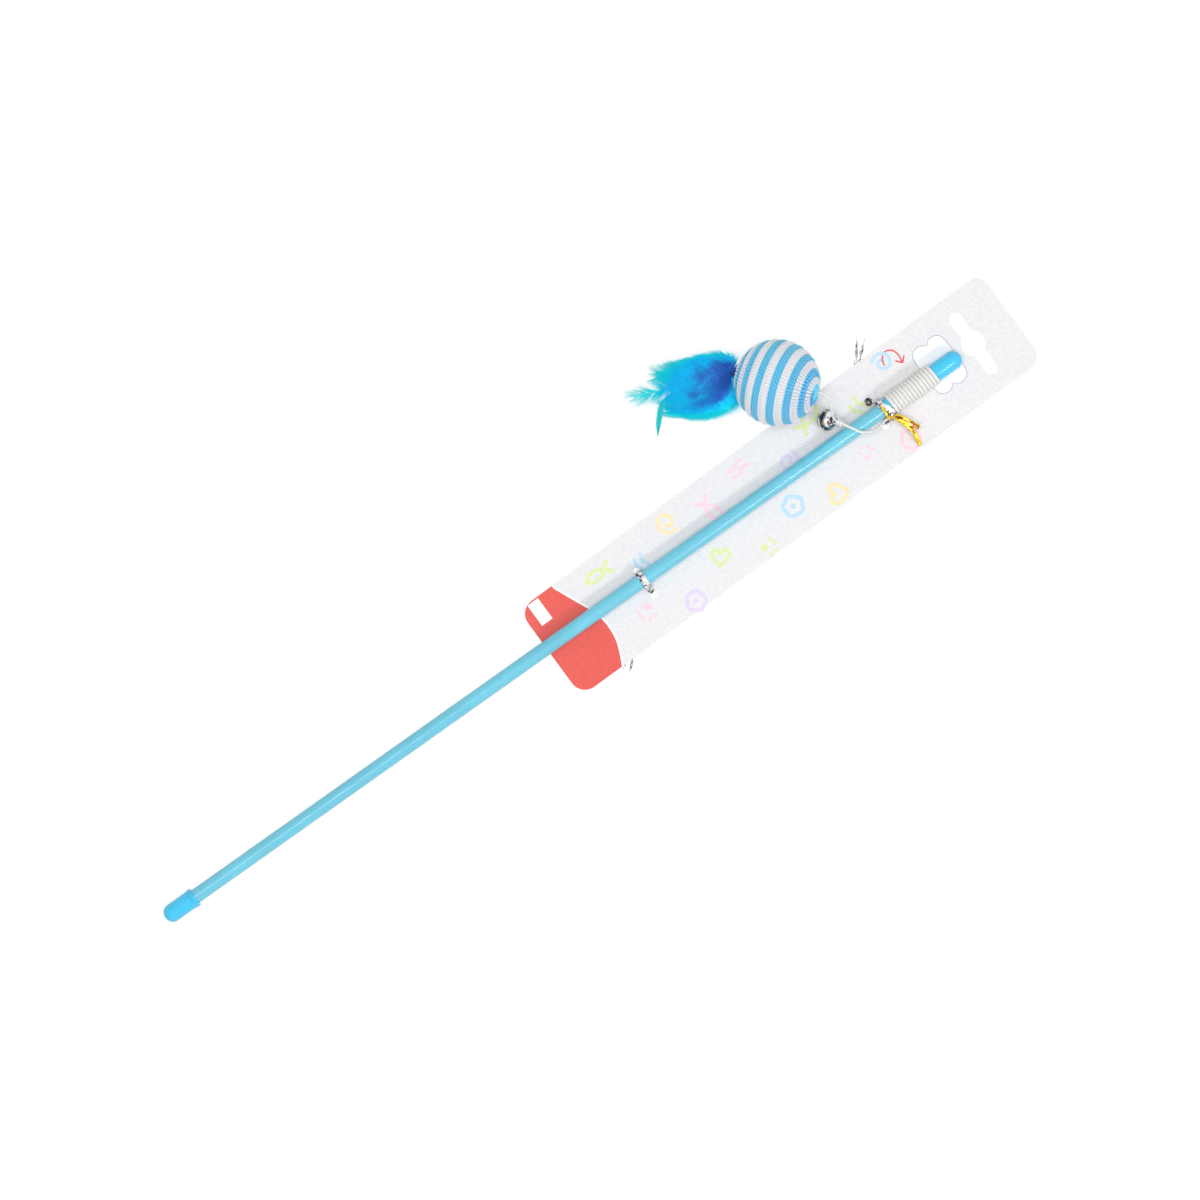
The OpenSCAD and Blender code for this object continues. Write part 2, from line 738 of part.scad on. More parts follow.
module gold_tie() {
    neck_start = gold_c + [0, gold_r * cos(gold_neck_turn), gold_r * sin(gold_neck_turn)];
    neck = concat([neck_start], [for (s = gold_neck_shares) gold_end_point(s)]);
    fork = gold_end_point(gold_fork_share);
    color([0.92, 0.72, 0.1])
    union() {
        translate(gold_c - [gold_w / 2, 0, 0])
        rotate([0, 90, 0])
        difference() {
            cylinder(h = gold_w, r = gold_r + foil_t / 2);
            translate([0, 0, -overrun]) cylinder(h = gold_w + 2 * overrun, r = gold_r - foil_t / 2);
        }
        ribbon(neck, [for (p = neck) [0, -0.4, 1]], shank_w);
        shank(neck[len(neck) - 1], fork, 1);
        for (shares = [gold_wide_tail_shares, gold_long_tail_shares]) {
            tail = concat([fork], [for (s = shares) gold_end_point(s)]);
            ribbon(tail, [for (p = tail) [0, 0, 1]], gold_w);
        }
    }
}

// A rectangle with rounded corners, from its hanging end at x = 0 back to x = -card_l
module card_outline() {
    for (side = [-1, 1]) {
        translate([-card_hang_r, side * (card_w / 2 - card_hang_r)]) circle(r = card_hang_r);
        translate([-card_l + card_foot_r, side * (card_w / 2 - card_foot_r)]) circle(r = card_foot_r);
    }
    translate([-card_hang_r, -card_w / 2 + card_hang_r]) square([card_hang_r, card_w - 2 * card_hang_r]);
    translate([-card_l, -card_w / 2 + card_foot_r]) square([card_foot_r, card_w - 2 * card_foot_r]);
    translate([-card_l + card_foot_r, -card_w / 2]) square([card_l - card_hang_r - card_foot_r, card_w]);
}

module backing_card() {
    color([0.95, 0.94, 0.95])
    translate([0, 0, card_back_z])
    linear_extrude(card_t)
    difference() {
        translate([card_mid.x, card_mid.y])
        rotate(card_turn)
        translate([card_l / 2, 0])
        difference() {
            card_outline();
            translate([-slot_from_end - slot_w / 2, -(slot_l - slot_w) / 2])
            square([slot_w, slot_l - slot_w]);
            for (side = [-1, 1])
                translate([-slot_from_end, side * (slot_l - slot_w) / 2]) circle(d = slot_w);
            translate([-slot_from_end, 0]) circle(d = slot_hole_d);
        }
        for (back = [tip_tie_back, middle_tie_back], side = [-1, 1]) {
            hole = card_point(back, side * tie_hole_gap / 2);
            translate([hole.x, hole.y]) circle(d = tie_hole_d);
        }
    }
}

echo(winding_least_gap = least_gap(winding_path, winding_rings, cord_d));
echo(strand_least_gap = least_gap(strand_path(0), strand_rings, strand_w));

wand_tube();
grip_cap();
tip_cap();
cord_winding();
cord_lead_tie_side();
cord_lead_ball_side();
bell_knot();
cord_anchor();
ball_core();
ball_wrap_blue();
ball_wrap_white();
quill_binding();
plume_long();
plume_left();
plume_right();
hackle();
bell_upper_shell();
bell_lower_shell();
bell_loop();
bell_pea();
gold_tie();
silver_tie_tip();
silver_tie_middle();
backing_card();
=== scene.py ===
"""Cat teaser wand on its hanging card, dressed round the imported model."""

import json
import math

import bpy
import numpy as np
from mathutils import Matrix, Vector


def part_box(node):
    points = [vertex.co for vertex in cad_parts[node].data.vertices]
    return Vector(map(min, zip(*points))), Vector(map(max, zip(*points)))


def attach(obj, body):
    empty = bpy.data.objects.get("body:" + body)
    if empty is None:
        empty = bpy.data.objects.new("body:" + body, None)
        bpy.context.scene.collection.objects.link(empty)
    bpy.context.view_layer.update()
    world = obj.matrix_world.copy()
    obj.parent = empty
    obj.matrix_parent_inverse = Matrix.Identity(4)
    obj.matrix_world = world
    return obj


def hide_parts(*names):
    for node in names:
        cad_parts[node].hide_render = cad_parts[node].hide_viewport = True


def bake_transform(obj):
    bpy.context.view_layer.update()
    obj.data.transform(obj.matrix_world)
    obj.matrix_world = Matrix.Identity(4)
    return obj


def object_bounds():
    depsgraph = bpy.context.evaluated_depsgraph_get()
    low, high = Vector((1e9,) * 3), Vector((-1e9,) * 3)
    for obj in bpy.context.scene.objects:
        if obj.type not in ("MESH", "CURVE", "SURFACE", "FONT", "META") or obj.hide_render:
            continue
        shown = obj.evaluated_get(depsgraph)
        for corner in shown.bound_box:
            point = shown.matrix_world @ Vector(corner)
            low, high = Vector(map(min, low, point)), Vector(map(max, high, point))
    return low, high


bl_info = {
    "name": "Cat Teaser Wand",
    "version": (1, 0, 0),
    "blender": (4, 5, 0),
    "location": "3D View > Sidebar > Teaser",
    "description": "Makes the rod, cord, knitted ball, feathers, bell, ties and card of a cat teaser wand",
    "category": "Object",
}

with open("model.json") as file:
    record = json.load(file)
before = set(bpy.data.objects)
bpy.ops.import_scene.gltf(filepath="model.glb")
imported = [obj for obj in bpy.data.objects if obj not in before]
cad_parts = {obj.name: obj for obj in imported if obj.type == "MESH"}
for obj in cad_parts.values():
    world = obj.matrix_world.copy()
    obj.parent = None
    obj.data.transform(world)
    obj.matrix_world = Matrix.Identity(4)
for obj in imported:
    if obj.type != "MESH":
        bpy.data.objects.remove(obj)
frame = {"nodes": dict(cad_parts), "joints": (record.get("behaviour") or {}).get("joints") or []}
CAD_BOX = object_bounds()
JOINTS = {joint["name"]: joint for joint in frame["joints"]}

# Shapes are worked out in millimetres, in the frame's axes, and written to the meshes in metres
MM = 0.001
UP = np.array([0.0, 0.0, 1.0])
# Radius of the tiny flat face that closes a turned surface at its pole
POLE_R = 0.002


def place(joint):
    """A joint's point, in millimetres."""
    return np.array(JOINTS[joint]["pos_m"]) / MM


def unit(v):
    """Vectors scaled to length one, along the last axis."""
    v = np.asarray(v, float)
    return v / np.maximum(np.linalg.norm(v, axis=-1, keepdims=True), 1e-12)


# Places that the frame gives
TIP = np.array([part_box("tip_cap")[1].x / MM, 0.0, 0.0])
GRIP_TIP_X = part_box("grip_cap")[0].x / MM
CARD_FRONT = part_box("backing_card")[1].z / MM
CARD_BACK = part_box("backing_card")[0].z / MM
BEND = place("lure_swing")
BALL = place("ball_spin")
BALL_AXIS = -unit(JOINTS["ball_spin"]["axis"])
BALL_UP = unit(UP - BALL_AXIS * (UP @ BALL_AXIS))
BALL_SIDE = np.cross(BALL_AXIS, BALL_UP)
LOOP = place("bell_swing")
BELL = sum(np.array([tuple(corner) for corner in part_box(node)]).sum(0) for node in (
    "bell_upper_shell", "bell_lower_shell")) / 4 / MM
BELL_AXIS = unit(LOOP - BELL)
FLOOR = CAD_BOX[0].z / MM


def paint(red, green, blue, alpha=1.0):
    """The linear colour that shows as the given 0 to 255 values on a screen."""
    def linear(c):
        c /= 255
        return c / 12.92 if c <= 0.04045 else ((c + 0.055) / 1.055) ** 2.4
    return (linear(red), linear(green), linear(blue), alpha)


def colour_of(label, description, *shown):
    """A colour property with its default given as 0 to 255 values on a screen."""
    return bpy.props.FloatVectorProperty(
        name=label, description=description, default=paint(*shown), size=4, min=0, max=1, subtype="COLOR")


def length_of(label, description, millimetres, low, high):
    """A length property whose default and limits are given in millimetres."""
    return bpy.props.FloatProperty(
        name=label, description=description, default=millimetres * MM, min=low * MM, max=high * MM,
        unit="LENGTH", subtype="DISTANCE", precision=5)


class TeaserColours(bpy.types.PropertyGroup):
    """Colours of the wand's pieces, which the materials start from."""
    rod: colour_of("Rod", "Milky plastic of the rod", 108, 200, 222)
    cap: colour_of("Caps", "Soft plastic of both end caps", 56, 200, 244)
    cord: colour_of("Cord", "Elastic cord", 236, 236, 230)
    blue_yarn: colour_of("Blue yarn", "Blue knitted strand", 114, 227, 255)
    # Painted shade: the blue stitches' ends and the strand's body take this colour for the shade between the
    # stitches
    blue_gap: colour_of("Blue gaps", "Between the stitches of the blue strand", 8, 146, 220)
    white_yarn: colour_of("White yarn", "White knitted strand", 252, 251, 253)
    # Painted shade: the white stitches' ends and the strand's body take this grey for the shade between the
    # stitches
    white_gap: colour_of("White gaps", "Between the stitches of the white strand", 190, 196, 214)
    quill_blue: colour_of("Royal blue", "Feathers near the ball", 46, 100, 186)
    plume_blue: colour_of("Bright blue", "Feathers half way out", 24, 190, 232)
    plume_teal: colour_of("Turquoise", "Outer part of the feathers", 16, 212, 220)
    wisp: colour_of("Wisps", "Ends of the finest barbs", 120, 220, 218)
    hackle: colour_of("Hackle", "Thin glossy feather", 12, 184, 186)
    board: colour_of("Board", "Card without ink", 241, 239, 241)
    red_band: colour_of("Red band", "Band across the card's end", 226, 76, 64)
    gold: colour_of("Gold foil", "Bright parts of the gold tie", 250, 205, 40)
    silver: colour_of("Silver foil", "Bright parts of the silver ties", 232, 232, 236)


class TeaserSizes(bpy.types.PropertyGroup):
    """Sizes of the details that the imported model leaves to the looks."""
    cord_d: length_of("Cord", "Diameter of the elastic cord", 1.2, 1.0, 1.3)
    wound_w: length_of("Wound cord", "Width that the cord is pressed to on the cap", 1.72, 1.2, 1.76)
    strand_w: length_of("Strand", "Width of a knitted strand", 3.7, 3.0, 3.85)
    stitch_l: length_of("Stitch", "Length of one stitch along its strand", 1.5, 1.0, 2.5)
    yarn_d: length_of("Yarn", "Diameter of the yarn in a stitch", 0.62, 0.4, 0.9)
    barb_w: length_of("Barb", "Width of a feather's barb at its root", 0.18, 0.1, 0.4)
    barbs: bpy.props.IntProperty(
        name="Barbs", description="Barbs on each plume", default=6600, min=600, max=6800)
    silver_w: length_of("Silver tie", "Width of the silver foil", 3.2, 1.8, 3.4)
    gold_w: length_of("Gold tie", "Width of the gold foil", 2.2, 1.6, 2.4)
    print_t: length_of("Ink", "How far the ink stands off the board", 0.03, 0.01, 0.05)


def bezier(a, b, c, d, t):
    """Points at shares t of the cubic Bezier curve from a to d with the handles b and c."""
    return (1 - t) ** 3 * a + 3 * (1 - t) ** 2 * t * b + 3 * (1 - t) * t * t * c + t ** 3 * d


def smooth(points, steps):
    """A curve through given points. Each stretch is a cubic Bezier curve whose handles are a sixth of
    the way between the neighbouring points."""
    p = np.asarray(points, float)
    first, last = p[:-1], p[1:]
    leave = (last - np.vstack([p[:1], p[:-2]])) / 6
    arrive = (np.vstack([p[2:], p[-1:]]) - first) / 6
    t = np.linspace(0, 1, steps, endpoint=False)[None, :, None]
    curve = bezier(*(x[:, None, :] for x in (first, first + leave, last - arrive, last)), t)
    return np.vstack([curve.reshape(-1, p.shape[1]), p[-1:]])


def along(path):
    """Distance along a path at each of its points."""
    return np.concatenate([[0.0], np.cumsum(np.linalg.norm(np.diff(path, axis=0), axis=1))])


def evenly(path, count):
    """The path again, with that many points at equal distances."""
    far = along(path)
    at = np.linspace(0, far[-1], count)
    return np.stack([np.interp(at, far, path[:, k]) for k in range(path.shape[1])], axis=1)


def axes(path, ups):
    """Unit tangent, up and side vectors at every point of one path or of many."""
    t = unit(np.gradient(path, axis=-2))
    up = unit(ups - t * (ups * t).sum(-1, keepdims=True))
    return t, up, np.cross(t, up)


def rings(path, ups, widths, thicks, sides):
    """Elliptic rings round paths: the ring's points lie at equal angles, half a width out along the side
    vector and half a thickness out along the up vector. Widths and thicknesses are one number or one for
    each of the path's points."""
    _, up, side = axes(path, ups)
    angle = np.arange(sides) * 2 * math.pi / sides
    across = side[..., None, :] * np.cos(angle)[:, None] * np.asarray(widths)[..., None, None] / 2
    rise = up[..., None, :] * np.sin(angle)[:, None] * np.asarray(thicks)[..., None, None] / 2
    return path[..., None, :] + across + rise


class Shape:
    """Gathers points in millimetres, faces and per-point values, and makes one mesh of them."""

    def __init__(self):
        self.points, self.faces, self.values, self.count = [], [], [], 0

    def add(self, points, face_arrays, **values):
        """Adds points with faces that count from the first of them. A value is a number or an array."""
        points = np.asarray(points, float).reshape(-1, 3)
        self.points.append(points)
        for faces in face_arrays:
            self.faces += (np.asarray(faces) + self.count).tolist()
        self.values.append({
            key: np.broadcast_to(np.asarray(value, float).reshape(-1), (len(points),))
            for key, value in values.items()})
        self.count += len(points)
        return self

    def tubes(self, ring_points, **values):
        """Adds tubes from rings shaped (..., rings, sides, 3): quads between the rings and a flat face on
        each end, all facing outwards. Values spread over an array shaped (..., rings, sides)."""
        n, sides = ring_points.shape[-3:-1]
        many = ring_points.size // (n * sides * 3)
        i = np.arange(n - 1)[:, None] * sides
        k = np.arange(sides)[None, :]
        nxt = (k + 1) % sides
        quads = np.stack([i + k, i + k + sides, i + nxt + sides, i + nxt], axis=-1).reshape(-1, 4)
        start = np.arange(many)[:, None, None] * n * sides
        ends = np.stack([k[0], (n - 1) * sides + k[0][::-1]])
        faces = [(quads[None] + start).reshape(-1, 4), (ends[None] + start).reshape(-1, sides)]
        return self.add(ring_points, faces, **{
            key: np.broadcast_to(value, ring_points.shape[:-1]) for key, value in values.items()})

    def turned(self, profile, middle, axis, up, sides, **values):
        """Adds a surface of revolution: the profile's rows are (distance along the axis, radius), from pole
        to pole."""
        profile = np.asarray(profile, float)
        side = np.cross(axis, up)
        a = -np.arange(sides) * 2 * math.pi / sides
        out = up * np.cos(a)[:, None] + side * np.sin(a)[:, None]
        ring_points = middle + axis * profile[:, 0, None, None] + out * profile[:, 1, None, None]
        return self.tubes(ring_points, **values)

    def prism(self, outline, low, high, **values):
        """Adds a flat plate: an outline of (x, y) points that runs anticlockwise, between two levels."""
        n = len(outline)
        flat = np.asarray(outline, float)
        points = np.vstack([np.column_stack([flat, np.full(n, z)]) for z in (low, high)])
        k = np.arange(n)
        walls = np.stack([k, (k + 1) % n, (k + 1) % n + n, k + n], axis=-1)
        return self.add(points, [[k[::-1]], [k + n], walls], **values)

    def make(self, name, finish, body, slot, replaced=(), shaded_smooth=True):
        """Makes the object, at the origin with its place in its mesh, and hands it to its body."""
        mesh = bpy.data.meshes.new(name)
        mesh.from_pydata((np.vstack(self.points) * MM).tolist(), [], self.faces)
        for key in self.values[0]:
            attribute = mesh.attributes.new(key, "FLOAT", "POINT")
            attribute.data.foreach_set("value", np.concatenate([v[key] for v in self.values]))
        mesh.polygons.foreach_set("use_smooth", np.full(len(mesh.polygons), shaded_smooth))
        mesh.materials.append(finish)
        mesh.update()
        piece = bpy.data.objects.new(name, mesh)
        bpy.context.scene.collection.objects.link(piece)
        if body:
            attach(piece, body)
        if replaced:
            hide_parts(*replaced)
        return piece


class Term:
    """A socket of a material's nodes that works in sums and products like a number."""

    def __init__(self, finish, socket):
        self.finish, self.socket = finish, socket

    def _math(self, operation, first, second):
        return self.finish.node("ShaderNodeMath", {"operation": operation}, {0: first, 1: second})

    def __add__(self, other):
        return self._math("ADD", self, other)

    def __sub__(self, other):
        return self._math("SUBTRACT", self, other)

    def __rsub__(self, other):
        return self._math("SUBTRACT", other, self)

    def __mul__(self, other):
        return self._math("MULTIPLY", self, other)

    def clamped(self, low, high):
        """The value's share of the way from low to high, kept between 0 and 1."""
        return self.finish.node("ShaderNodeMapRange", {"clamp": True}, {0: self, 1: low, 2: high})

    def wave(self):
        """The sine of the value."""
        return self._math("SINE", self, 0.0)

    __radd__, __rmul__ = __add__, __mul__


class Finish:
    """The nodes of a material or of the world, under construction."""

    def __init__(self, name, kind="materials"):
        self.material = getattr(bpy.data, kind).new(name)
        self.material.use_nodes = True
        self.tree = self.material.node_tree
        self.tree.nodes.clear()

    def node(self, kind, settings=None, inputs=None, output=0):
        """Makes a node, sets its settings, then its sockets' values or links, and gives one output. A ramp's
        stops are a list of (place, colour), and its steps say how it goes between them."""
        made = self.tree.nodes.new(kind)
        for key, value in (settings or {}).items():
            if key == "stops":
                ramp = made.color_ramp.elements
                for i, (where, shown) in enumerate(value):
                    stop = ramp[i] if i < len(ramp) else ramp.new(where)
                    stop.position, stop.color = where, shown
            elif key == "steps":
                made.color_ramp.interpolation = value
            else:
                setattr(made, key, value)
        for key, value in (inputs or {}).items():
            if isinstance(value, Term):
                self.tree.links.new(value.socket, made.inputs[key])
            else:
                made.inputs[key].default_value = value
        return Term(self, made.outputs[output])

    def spot(self):
        """The place on the piece, in millimetres."""
        place_m = self.node("ShaderNodeTexCoord", output="Object")
        return self.node("ShaderNodeVectorMath", {"operation": "SCALE"}, {0: place_m, "Scale": 1 / MM})

    def vector(self, *parts):
        """A vector from up to three values."""
        return self.node("ShaderNodeCombineXYZ", {}, dict(enumerate(parts)))

    def value(self, name):
        """A per-point value of the mesh."""
        return self.node("ShaderNodeAttribute", {"attribute_name": name}, output="Fac")

    def noise(self, per_mm, detail=2.0, rough=0.5, where=None):
        """Soft noise from 0 to 1 whose grains are about one over per_mm millimetres wide."""
        return self.node("ShaderNodeTexNoise", {}, {
            "Vector": where or self.spot(), "Scale": per_mm, "Detail": detail, "Roughness": rough})

    def mix(self, share, first, second):
        """A colour that goes from first to second as share goes from 0 to 1."""
        return self.node("ShaderNodeMix", {"data_type": "RGBA"}, {0: share, 6: first, 7: second}, output=2)

    def ramp(self, share, stops, steps="LINEAR"):
        """A colour read off a row of stops."""
        return self.node("ShaderNodeValToRGB", {"stops": stops, "steps": steps}, {0: share})

    def bump(self, height, depth_mm, strength=1.0):
        """A bumped normal from a height between 0 and 1 that stands for a depth in millimetres."""
        return self.node("ShaderNodeBump", {}, {
            "Height": height, "Distance": depth_mm * MM, "Strength": strength})

    def surface(self, base, roughness, **inputs):
        """Ends the material in one Principled shader."""
        named = {key.replace("_", " ").title().replace("Ior", "IOR"): inputs[key] for key in inputs}
        return self.finished(self.node(
            "ShaderNodeBsdfPrincipled", {}, {"Base Color": base, "Roughness": roughness, **named}))

    def finished(self, shader, output="ShaderNodeOutputMaterial"):
        """Links a shader to the output, and gives the finished material or world."""
        out = self.tree.nodes.new(output)
        self.tree.links.new(shader.socket, out.inputs[0])
        return self.material


def shade(colour, factor):
    """A colour made darker or lighter by a factor."""
    return tuple(min(1.0, c * factor) for c in colour[:3]) + (1.0,)


def colours():
    """The colour properties, as plain tuples by name."""
    group = bpy.context.scene.teaser_colours
    return {key: tuple(getattr(group, key)) for key in TeaserColours.__annotations__}


def sizes():
    """The size properties: lengths in millimetres and counts as they are."""
    group = bpy.context.scene.teaser_sizes
    return {key: getattr(group, key) / (1 if key == "barbs" else MM) for key in TeaserSizes.__annotations__}


def soft_plastic(name, colour, roughness, glow, gloss, grain_mm):
    """Moulded milky plastic: slow cloudy changes of colour, a fine grain in the gloss, and light that sinks
    in."""
    f = Finish(name)
    cloud, grain = f.noise(0.05, 3.0), f.noise(2.5, 4.0)
    return f.surface(
        f.mix(cloud.clamped(0.3, 0.7), shade(colour, 0.94), shade(colour, 1.05)),
        grain * 0.16 + (roughness - 0.08),
        normal=f.bump(grain, grain_mm, 0.4),
        subsurface_weight=glow, subsurface_radius=(0.6, 1.0, 1.2), subsurface_scale=0.0008,
        coat_weight=gloss, coat_roughness=0.1)


def elastic(name, colour):
    """Braided elastic: two sets of slanted ribs round the cord, from its length and angle values, with
    painted shade that darkens the hollows between the ribs, and random soiling.
    """
    f = Finish(name)
    turn = f.value("around") * (4 * math.pi)
    run = f.value("along") * (2 * math.pi / 0.9)
    weave = (run + turn).wave() * (run - turn).wave()
    soil = f.noise(0.7, 3.0)
    return f.surface(
        f.mix(weave.clamped(-1.6, 0.6) * 0.7 + soil * 0.4, shade(colour, 0.86), colour),
        soil * 0.1 + 0.5,
        normal=f.bump(weave.clamped(-1.0, 1.0), 0.035, 0.6),
        sheen_weight=0.15)


def yarn(name, colour, dark, gap):
    """Fluffy yarn: short fibres as fine noise, and painted shade in the gaps' colour where a stitch dives."""
    f = Finish(name)
    fibre, tuft = f.noise(5.0, 4.0, 0.7), f.noise(0.9, 2.0)
    share = (fibre * 0.6 + tuft * 0.4).clamped(0.28, 0.6)
    return f.surface(
        f.mix(f.value("deep"), f.mix(share, dark, colour), gap), 0.8,
        normal=f.bump(fibre, 0.06, 0.7), sheen_weight=0.35, sheen_roughness=0.6)


def down(name, c, matted=False):
    """Dyed down: the colour goes from the quill's royal blue to pale wisps, by each point's own value for
    how far out it is, with darker and lighter barbs side by side. A small painted glow, emission in its own
    colour, stands in for the light that wanders through the mass. Matted down has streaks in place of single
    barbs."""
    f = Finish(name)
    tint = f.value("tint")
    if matted:
        streak = f.noise(1.0, 4.0, 0.65, f.vector(f.value("along") * 2.2, f.value("across") * 0.4))
    else:
        streak = f.noise(2.5, 2.0)
    share = f.value("out") + (tint - 0.5) * 0.12 + (f.noise(0.16, 3.0) - 0.5) * 0.3 + (streak - 0.5) * 0.2
    hue = f.ramp(share.clamped(0.0, 1.0), [
        (0.0, shade(c["quill_blue"], 0.8)), (0.19, c["quill_blue"]), (0.33, c["plume_blue"]),
        (0.46, c["plume_blue"]), (0.62, c["plume_teal"]), (0.82, c["plume_teal"]), (1.0, c["wisp"])])
    shown = f.mix((tint * 0.4 + streak * 0.6).clamped(-0.7, 0.55), shade(c["quill_blue"], 0.7), hue)
    inputs = {"normal": f.bump(streak, 0.25, 0.8)} if matted else {}
    # Painted light: emission in the down's own colour makes it glow
    return f.surface(
        shown, tint * 0.3 + 0.6, specular_ior_level=0.2, emission_color=shown, emission_strength=DOWN_PAINTED_GLOW,
        **inputs)


def glossy_feather(name, colour):
    """Hackle: a glossy vane whose barbs show as slanted ribs that meet at the shaft."""
    f = Finish(name)
    edge = f.node("ShaderNodeMath", {"operation": "ABSOLUTE"}, {0: f.value("across")})
    ribs = ((f.value("along") - edge * 1.6) * (2 * math.pi / 0.42)).wave()
    tone = f.noise(0.5, 3.0) * 0.8 + ribs * 0.12 + edge * 0.35
    return f.surface(
        f.mix(tone.clamped(0.1, 0.8), shade(colour, 0.5), shade(colour, 1.3)), 0.35,
        normal=f.bump(ribs.clamped(-1.0, 1.0), 0.05, 0.7), subsurface_weight=0.3,
        subsurface_radius=(0.5, 1.0, 1.0), subsurface_scale=0.0008)


def plated(name, colour, dark, axis, middle):
    """Nickel with painted reflections of dark surroundings, left bright on the rolled seam: painted brown in
    the crease above the seam, by the distance from the seam's plane along the bell's axis, with a painted
    dark spot at the loop's foot and brown patches round it, painted dark patches below the seam, and fine
    scratches."""
    f = Finish(name)
    axis, kind = tuple(axis), "ShaderNodeVectorMath"
    centred = f.node(kind, {"operation": "SUBTRACT"}, {0: f.spot(), 1: tuple(middle)})
    level = f.node(kind, {"operation": "DOT_PRODUCT"}, {0: centred, 1: axis}, "Value")
    crosswise = f.node(kind, {"operation": "CROSS_PRODUCT"}, {0: centred, 1: axis})
    radius = f.node(kind, {"operation": "LENGTH"}, {0: crosswise}, "Value")
    patch, scratch = f.noise(0.42, 2.0), f.noise(5.0, 3.0)
    crease = level.clamped(0.4, 0.6) * (1.0 - level.clamped(2.0, 3.0)) * patch.clamped(0.3, 0.42)
    crown = (1.0 - radius.clamped(2.8, 3.2)) * level.clamped(2.0, 2.5) * (1.0 - level.clamped(4.65, 4.8)) * (
        patch.clamped(0.42, 0.5) + (1.0 - radius.clamped(1.5, 1.9)))
    under = (1.0 - level.clamped(-0.9, -0.5)) * patch.clamped(0.3, 0.48)
    # Painted reflection: where dark and brown stand in for dark surroundings mirrored in the nickel
    painted_reflection = (crease + crown + under).clamped(0.0, 1.0)
    tone = f.mix(level.clamped(-0.6, 0.6) * radius.clamped(1.4, 1.8), dark, (0.09, 0.04, 0.02, 1.0))
    return f.surface(
        f.mix(painted_reflection * 0.93, colour, tone), scratch * 0.12 + 0.14, metallic=1.0,
        normal=f.bump(scratch, 0.02, 0.3))


def crinkled(name, colour, dark, share, blotch):
    """Foil with painted reflections: bright and dark streaks in its colour that run along the strip, standing
    in for the light and dark that it mirrors by turns. Blotch is the weight of rounder patches in them, and
    share is how much is dark. The strip's own value darkens it too: painted shade in a fold and at the
    narrowed ends, the bare wire's own darker colour, and a little all over on the middle tie. It has fine
    creases and a clear coat."""
    f = Finish(name)
    run, across = f.value("along"), f.value("across")
    streak = f.noise(1.0, 2.0, 0.5, f.vector(run * 0.16, across * 1.5, 3.0))
    patch = f.noise(1.0, 1.0, 0.5, f.vector(run * 0.55, across * 0.6, 9.0))
    light = streak * (1 - blotch) + patch * blotch - f.value("dark") * 0.3
    crease = f.noise(1.2, 2.0)
    return f.surface(
        f.mix(light.clamped(share - 0.06, share + 0.06), dark, colour), crease * 0.15 + 0.14, metallic=0.85,
        normal=f.bump(patch * 0.5 + crease, 0.1, 0.4), coat_weight=0.2, coat_roughness=0.08)


def embossed(f):
    """Height of the board's pressed pattern: slanted wavy ribs, broken up by noise."""
    turned = f.node("ShaderNodeMapping", {}, {"Vector": f.spot(), "Rotation": (0.0, 0.0, -0.62)})
    ribs = f.node("ShaderNodeTexWave", {"wave_profile": "SIN"}, {
        "Vector": turned, "Scale": 0.22, "Distortion": 3.2, "Detail": 2.0,
        "Detail Scale": 1.6, "Detail Roughness": 0.6}, output="Fac")
    broken = f.noise(0.5, 2.0, where=turned).clamped(0.38, 0.6)
    return ribs * broken * 0.7 + f.noise(1.0, 3.0, where=turned) * 0.4


def printed_board(name, colour):
    """Bare board with its pressed ribs, and painted shade that makes it a little darker in the hollows."""
    f = Finish(name)
    height = embossed(f)
    return f.surface(
        f.mix(height.clamped(0.15, 0.8), shade(colour, 0.9), colour), 0.5,
        normal=f.bump(height, 0.26, 0.7), coat_weight=0.12, coat_roughness=0.35)


def ink(name, inks, gloss, thin=0.16):
    """Print on the board: each mark's colour by its number, thinned unevenly by the pressed ribs."""
    f = Finish(name)
    height = embossed(f)
    stops = [((i + 0.5) / len(inks), colour) for i, colour in enumerate(inks)]
    shown = f.ramp(f.value("mark"), stops, "CONSTANT")
    return f.surface(
        f.mix(height.clamped(0.1, 1.1) * thin, shown, (1.0, 1.0, 1.0, 1.0)), 0.45,
        normal=f.bump(height, thin, 0.45), coat_weight=gloss, coat_roughness=0.2)


def thread(name, colour):
    """Thread wound tight: fine ribs along the binding, with painted shade that darkens the hollows between
    them, and lighter fibres.
    """
    f = Finish(name)
    fibre = f.noise(4.0, 4.0, 0.7)
    ribs = (f.value("along") * (2 * math.pi / 0.35)).wave()
    return f.surface(
        f.mix((fibre * 0.6 + ribs * 0.25).clamped(0.1, 0.7), shade(colour, 0.5), colour), 0.7,
        normal=f.bump(ribs * 0.5 + fibre * 0.5, 0.1, 0.8))


def grained(name, colour, roughness, metallic=0.0):
    """Plain moulded or turned material with a fine grain in its colour and gloss."""
    f = Finish(name)
    grain = f.noise(1.5, 4.0)
    return f.surface(
        f.mix(grain.clamped(0.25, 0.75), shade(colour, 0.85), colour), grain * 0.2 + roughness,
        metallic=metallic, normal=f.bump(grain, 0.03, 0.5))


def dress(node, finish):
    """Gives a CAD node that stays in view its own finish."""
    mesh = frame["nodes"][node].data
    mesh.materials.clear()
    mesh.materials.append(finish)


# Stage. The photograph looks straight down with a long lens, and the wand lies slanted in it. The view's
# middle, its width and the camera's height are in metres.
VIEW_AT = (0.24005, 0.0038)
VIEW_TURN = math.radians(-35.3)
VIEW_ACROSS = 0.5556
VIEW_FAR = 1.8
SENSOR = 36.0
